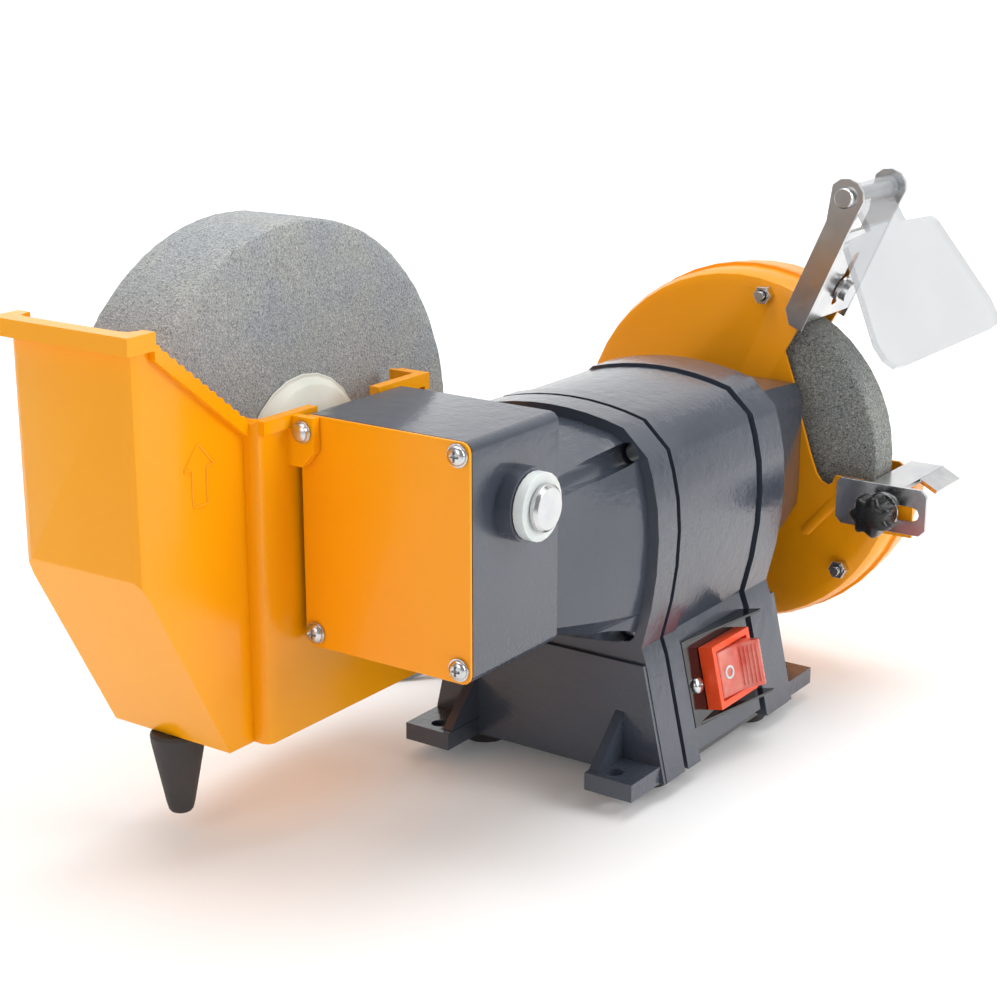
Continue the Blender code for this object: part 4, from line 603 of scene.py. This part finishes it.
def pan_head(name, centre, materials, node):
    """Pan-head Phillips screw with its plain washer on the gearbox cover, facing -X."""
    seat = COVER_FACE
    top = seat - 2.8
    span = 4.6
    head = turned([(0, seat + 8), (2.0, seat + 8), (2.0, seat), (4.0, seat - 0.1), (4.0, seat - 1.2),
                   (3.75, seat - 1.8), (3.1, seat - 2.35), (2.0, seat - 2.7), (0, top)], "X", centre, 40)
    head = cut(head, cross_recess("X", centre, span, span * 0.26, ((1.12, top - 0.4), (0.45, top + 1.7))))
    dress(as_object(name, head), "base", "zinc", materials, 0.12, [node])
    ring = turned_ring([(2.2, seat), (4.7, seat), (4.75, seat - 0.15), (4.75, seat - 0.6),
                        (4.6, seat - 0.75), (2.2, seat - 0.75)], "X", centre, 40)
    dress(as_object(name + "_washer", ring), "base", "zinc", materials)


def on_base_face(mesh):
    """Stand a mesh built with Y as height above the base face onto its sloping front."""
    normal = (-math.cos(BASE_SLOPE), math.sin(BASE_SLOPE))
    for vertex in mesh.verts:
        x, height, along = vertex.co / MM - OFFSET
        y = -BASE_SLOPE_TOP[0] + 1.3 + normal[0] * height + along * math.sin(BASE_SLOPE)
        z = BASE_SLOPE_TOP[1] + normal[1] * height + along * math.cos(BASE_SLOPE)
        vertex.co = world(x, y, z)
    bmesh.ops.recalc_face_normals(mesh, faces=mesh.faces)
    return mesh


def build_screws(materials):
    """The three cover screws and the switch plate's screw again, with cross recesses."""
    for number in (1, 2, 3):
        low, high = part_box(f"cover_screw_{number}")
        centre = (low + high) / 2 / MM - OFFSET
        pan_head(f"cover_screw_{number}_skin", (centre.y, centre.z), materials, f"cover_screw_{number}")
    screw = turned([(0, -10), (2.0, -10), (2.0, 1.8), (3.6, 1.8), (3.6, 2.8), (3.3, 3.3), (2.5, 3.75),
                    (1.4, 3.95), (0, 4.0)], "Y", PLATE_SCREW, 36)
    screw = cut(screw, cross_recess("Y", PLATE_SCREW, 3.6, 0.9, ((1.1, 4.4), (0.45, 2.3))))
    dress(as_object("switch_screw_skin", on_base_face(screw)), "base", "zinc", materials, 0.1,
          ["switch_screw"])


# ---- switch -------------------------------------------------------------------------------------
def build_rocker(materials):
    """Two-winged rocker with a row of grip ribs on its raised wing and a moulded ring mark on the other."""
    middle = ROCKER_MIDDLE
    outline = rounded([(middle - 12.4, 4.4), (middle, 2.4), (middle + 11.2, 5.8), (middle + 11.5, 17.0),
                       (middle + 9.0, 17.8), (middle + 1.5, 10.4), (middle - 12.4, 8.5)], 1.1, 4)
    body = on_base_face(prism(outline, "Z", -8.8, -30.2))
    dress(as_object("rocker_skin", body), "rocker", "rocker_red", materials, 0.35, ["switch_rocker"])
    rise = math.atan2(7.4, 7.5)
    for step in range(5):
        along = 1.4 + step * 1.9
        u, v = middle + 1.5 + along * math.cos(rise), 10.4 + along * math.sin(rise)
        rib = prism(circle((u, v), 0.55, 12), "Z", -10.6, -28.4)
        dress(as_object(f"rocker_rib_{step + 1}", on_base_face(rib)), "rocker", "rocker_red", materials)
    mark = middle - 6.4
    ring = turned_ring([(2.1, 8.2), (3.1, 8.2), (3.1, 9.25), (2.1, 9.25)], "Y", (mark, ROCKER_DOWN), 40)
    tilt = math.atan2(1.9, 13.9)
    for vertex in ring.verts:
        spot = vertex.co / MM - OFFSET
        spot.y += (spot.x - mark) * math.tan(tilt) + 0.55
        vertex.co = world(*spot)
    dress(as_object("rocker_ring_mark", on_base_face(ring)), "rocker", "nylon", materials)


def build_knob(materials):
    """Seven-lobed knob with a domed front, and its steel washer and stud."""
    stud = REST_STUD
    lobes = 7
    count = 16 * lobes
    rings = []
    for x, reach in ((269.8, 0.80), (269.6, 0.92), (268.2, 1.0), (262.0, 1.0), (260.2, 0.97),
                     (259.0, 0.90), (258.3, 0.78), (257.9, 0.55), (257.7, 0.28)):
        ring = []
        for step in range(count):
            angle = TAU * step / count
            radius = 9.5 * reach + 1.3 * math.cos(lobes * angle) * reach ** 4
            ring.append((x, stud[0] + radius * math.cos(angle), stud[1] + radius * math.sin(angle)))
        rings.append(ring)
    knob = as_object("knob_skin", ring_mesh(rings, poles=(None, (257.65, *stud))), 50)
    dress(knob, "knob", "black_plastic", materials, stands_for=["rest_knob"])
    neck = turned([(0, 269.0), (6.5, 269.0), (6.5, 272.8), (8.4, 273.0), (8.5, 273.2), (8.5, 274.5),
                   (8.3, 274.7), (2.9, 274.7), (2.9, 284.0), (0, 284.0)], "X", stud, 48)
    dress(as_object("knob_washer", neck), "knob", "zinc", materials)


# ---- raised marks on the orange pieces ----------------------------------------------------------
def raised_strip(points, half, low, high, axis, closed=False):
    """Rounded bead along a line of points on a flat face, standing from low to high across it."""
    section = ((-half, low), (-half * 0.72, high * 0.72 + low * 0.28), (-half * 0.3, high),
               (half * 0.3, high), (half * 0.72, high * 0.72 + low * 0.28), (half, low))
    rings = []
    last = len(points) - 1
    for i, point in enumerate(points):
        before = Vector(points[i - 1] if closed or i else point)
        after = Vector(points[(i + 1) % len(points)] if closed or i < last else point)
        way = (after - before).normalized()
        side = Vector((-way.y, way.x))
        share = 1.0 if closed or 0 < i < last else 0.55
        rings.append([place(point[0] + side.x * across * share, point[1] + side.y * across * share,
                            rise, axis) for across, rise in section])
    return ring_mesh(rings, closed=closed)


def build_marks(materials):
    """Pressed stiffening rib on the guard's side and a moulded arrow on the trough's front wall."""
    start, end = Vector((-42.5, -36.0)), Vector((-60.0, -16.0))
    line = [tuple(start + (end - start) * share) for share in (-0.06, 0.0, 0.25, 0.5, 0.75, 1.0, 1.06)]
    rib = raised_strip(line, 3.0, GUARD_FACE, GUARD_FACE - 1.8, "X")
    dress(as_object("guard_rib", rib), "base", "orange_steel", materials, 0.4)
    centre, foot, head, half = -46.5, 40.0, 65.0, 4.0
    neck = head - 10
    arrow = [(centre - half, foot), (centre + half, foot), (centre + half, neck), (centre + 8.5, neck),
             (centre, head), (centre - 8.5, neck), (centre - half, neck)]
    dense = []
    for i, corner in enumerate(arrow):
        following = arrow[(i + 1) % len(arrow)]
        dense += [tuple(Vector(corner).lerp(Vector(following), share)) for share in (0.06, 0.5, 0.94)]
    outline = raised_strip(dense, 0.8, TROUGH_FACE, TROUGH_FACE - 0.9, "Y", closed=True)
    dress(as_object("trough_arrow", outline), "base", "orange_plastic", materials)


# ---- mains lead ---------------------------------------------------------------------------------
def build_lead(materials):
    """The mains lead from its gland, along the table and round its tied coil, with its plug."""
    points = cord_points()
    curve = bpy.data.curves.new("mains_lead", "CURVE")
    curve.dimensions = "3D"
    curve.bevel_depth = CORD_DIAMETER / 2 * MM
    curve.bevel_resolution = 5
    curve.use_fill_caps = True
    line = curve.splines.new("POLY")
    line.points.add(len(points) - 1)
    for spot, point in zip(line.points, points):
        spot.co = (*world(*point), 1.0)
    line.use_smooth = True
    lead = bpy.data.objects.new("mains_lead", curve)
    bpy.context.scene.collection.objects.link(lead)
    curve.materials.append(materials["cord_grey"])
    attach(lead, "base")
    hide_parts("power_cord", "cord_coil")

    end = Vector(points[-1])
    along = end - Vector(points[-2])
    along = Vector((along.x, along.y, 0.0)).normalized()
    plug = build_plug(end, along, materials)
    ties = [build_tie(math.radians(angle), number, materials) for number, angle in enumerate((28, 208), 1)]


def upright_ring(centre, side, wide, tall, lift, segments):
    """Upright oval of points across the given level direction, lifted above its centre."""
    angles = [TAU * i / segments for i in range(segments)]
    return [tuple(centre + side * (wide * math.cos(a)) + Vector((0, 0, lift + tall * math.sin(a))))
            for a in angles]


def build_plug(end, along, materials):
    """Moulded two-pin plug with a ribbed sleeve, lying on the table in line with the end of the lead."""
    side = Vector((-along.y, along.x, 0.0))
    middle = 17.5
    sections = [(-2.0, 4.2, 4.2, 7.4), (0.0, 4.9, 4.9, 7.6)]
    for rib in range(4):
        x = 1.5 + rib * 3.4
        grow = rib * 0.45
        for step, radius, lift in ((0.0, 5.6, 8.0), (1.9, 5.8, 8.2), (2.3, 4.9, 8.6), (3.0, 5.0, 8.8)):
            sections.append((x + step, radius + grow, radius + grow, lift + grow))
    sections += [(17.0, 9.5, 8.0, 12.5), (20.0, 14.5, 12.0, 15.5), (24.0, 17.0, 15.0, 16.8),
                 (31.0, 17.4, 16.8, 17.3), (38.0, 17.4, 17.0, middle), (39.2, 16.4, 16.2, middle),
                 (39.6, 14.4, 14.4, middle)]
    rings = [upright_ring(Vector((end.x, end.y, FLOOR)) + along * reach, side, wide, tall, lift, 40)
             for reach, wide, tall, lift in sections]
    skin = as_object("plug_skin", ring_mesh(rings), 40)
    pieces = [dress(skin, "base", "black_plastic", materials, 0.3, ["power_plug"])]
    for number, offset in enumerate((-9.5, 9.5), 1):
        pin_rings = []
        for reach, radius in ((36.0, 2.35), (48.0, 2.35), (48.2, 2.4), (57.0, 2.4), (58.4, 1.9), (58.6, 1.2)):
            centre = Vector((end.x, end.y, FLOOR + middle)) + along * reach + side * offset
            pin_rings.append(upright_ring(centre, side, radius, radius, 0.0, 20))
        pin = as_object(f"plug_pin_{number}", ring_mesh(pin_rings))
        pieces.append(dress(pin, "base", "zinc", materials))
    return pieces


def build_tie(angle, number, materials):
    """Plastic-coated tie round the coil's cross-section, flat where it lies on the floor."""
    outwards = Vector((math.cos(angle), math.sin(angle), 0.0))
    across = Vector((-outwards.y, outwards.x, 0.0))
    middle = Vector((*COIL_CENTRE, FLOOR + 7.3)) + outwards * COIL_MIDDLE
    section = rounded([(-10.9, -7.1), (10.9, -7.1), (10.9, 7.5), (-10.9, 7.5)], 3.6, 6)
    rings = []
    for grow, shift in ((0.0, -1.6), (0.5, -1.6), (0.6, 0.0), (0.5, 1.6), (0.0, 1.6)):
        ring = []
        for u, v in section:
            rise = max(-7.25, v + math.copysign(grow, v))
            ring.append(tuple(middle + outwards * (u + math.copysign(grow, u)) + Vector((0, 0, rise))
                              + across * shift))
        rings.append(ring)
    band = ring_mesh(rings, closed=True)
    return dress(as_object(f"coil_tie_{number}", band), "base", "black_plastic", materials)


# ---- floor, light and picture -------------------------------------------------------------------
def build_stage():
    """White floor that curves up into a white wall behind the machine; both glow with painted light, faint
    near the machine and strongest on the wall.
    """
    behind = Vector((0.8192, 0.5736))
    aside = Vector((-behind.y, behind.x))
    bend = 1.2
    profile = [(-6.0, 0.0), (-2.0, 0.0), (bend, 0.0)]
    for degrees in range(10, 91, 10):
        angle = math.radians(degrees)
        profile.append((bend + bend * math.sin(angle), bend - bend * math.cos(angle)))
    profile += [(2 * bend, 3.0), (2 * bend, 5.0)]
    mesh = bmesh.new()
    rows = []
    for reach, height in profile:
        rows.append([mesh.verts.new((*(behind * reach + aside * across), height))
                     for across in (-6.0, 0.0, 6.0)])
    for low, high in zip(rows, rows[1:]):
        for i in range(2):
            mesh.faces.new((low[i], low[i + 1], high[i + 1], high[i]))
    bmesh.ops.recalc_face_normals(mesh, faces=mesh.faces)
    floor = as_object("floor", mesh, 60)
    shade = Shade("floor", (0.93, 0.93, 0.93), 0.65, Specular_IOR_Level=0.1)
    # Painted light: the floor glows faintly near the machine and more strongly further back, and the wall
    # glows fully, so the backdrop reads bright white.
    shade.set("Emission Color", (1.0, 1.0, 1.0, 1.0))
    reach = shade.nodes.new("ShaderNodeVectorMath")
    reach.operation = "DOT_PRODUCT"
    reach.inputs[1].default_value = (*behind, 0.0)
    shade.links.new(shade.coords.outputs["Object"], reach.inputs[0])
    painted_glow = shade.nodes.new("ShaderNodeMapRange")
    for socket, value in (("From Min", 0.1), ("From Max", 1.8), ("To Min", 0.05), ("To Max", 0.50)):
        painted_glow.inputs[socket].default_value = value
    shade.links.new(reach.outputs["Value"], painted_glow.inputs["Value"])
    shade.drive("Emission Strength", painted_glow.outputs["Result"])
    shade.drive("Base Color", shade.ramp(shade.noise(2.0, 2.0), [
        (0.3, (0.925, 0.925, 0.925)), (0.7, (0.94, 0.94, 0.94))]))
    floor.data.materials.append(shade.material)


def area_light(name, spot, target, size, power):
    """White rectangular lamp at a spot, turned to its target."""
    data = bpy.data.lights.new(name, "AREA")
    data.shape = "RECTANGLE"
    data.size, data.size_y = size
    data.energy = power
    lamp = bpy.data.objects.new(name, data)
    bpy.context.scene.collection.objects.link(lamp)
    lamp.location = spot
    lamp.rotation_euler = (Vector(target) - Vector(spot)).to_track_quat("-Z", "Y").to_euler()


def light_scene():
    """A dim surround, a large soft lamp overhead and two tall ones at the sides."""
    world_look = bpy.data.worlds.new("surround")
    bpy.context.scene.world = world_look
    world_look.use_nodes = True
    background = world_look.node_tree.nodes["Background"]
    background.inputs["Color"].default_value = (1.0, 1.0, 1.0, 1.0)
    background.inputs["Strength"].default_value = 0.34
    area_light("overhead", (0.1, 0.1, 1.3), (0.0, 0.0, 0.0), (1.5, 0.9), 13.0)
    area_light("operator_side", (0.35, -1.25, 0.75), (0.0, 0.0, 0.05), (0.7, 1.1), 11.0)
    area_light("wheel_side", (-1.35, 0.1, 0.65), (0.0, 0.0, 0.1), (0.7, 0.9), 3.5)
    bpy.context.scene.view_settings.view_transform = "Standard"


def build():
    place_camera()
    materials = make_materials()
    dress_solids(materials)
    build_lead(materials)
    build_stones(materials)
    build_screws(materials)
    build_rocker(materials)
    build_knob(materials)
    build_marks(materials)
    build_stage()
    light_scene()


build()
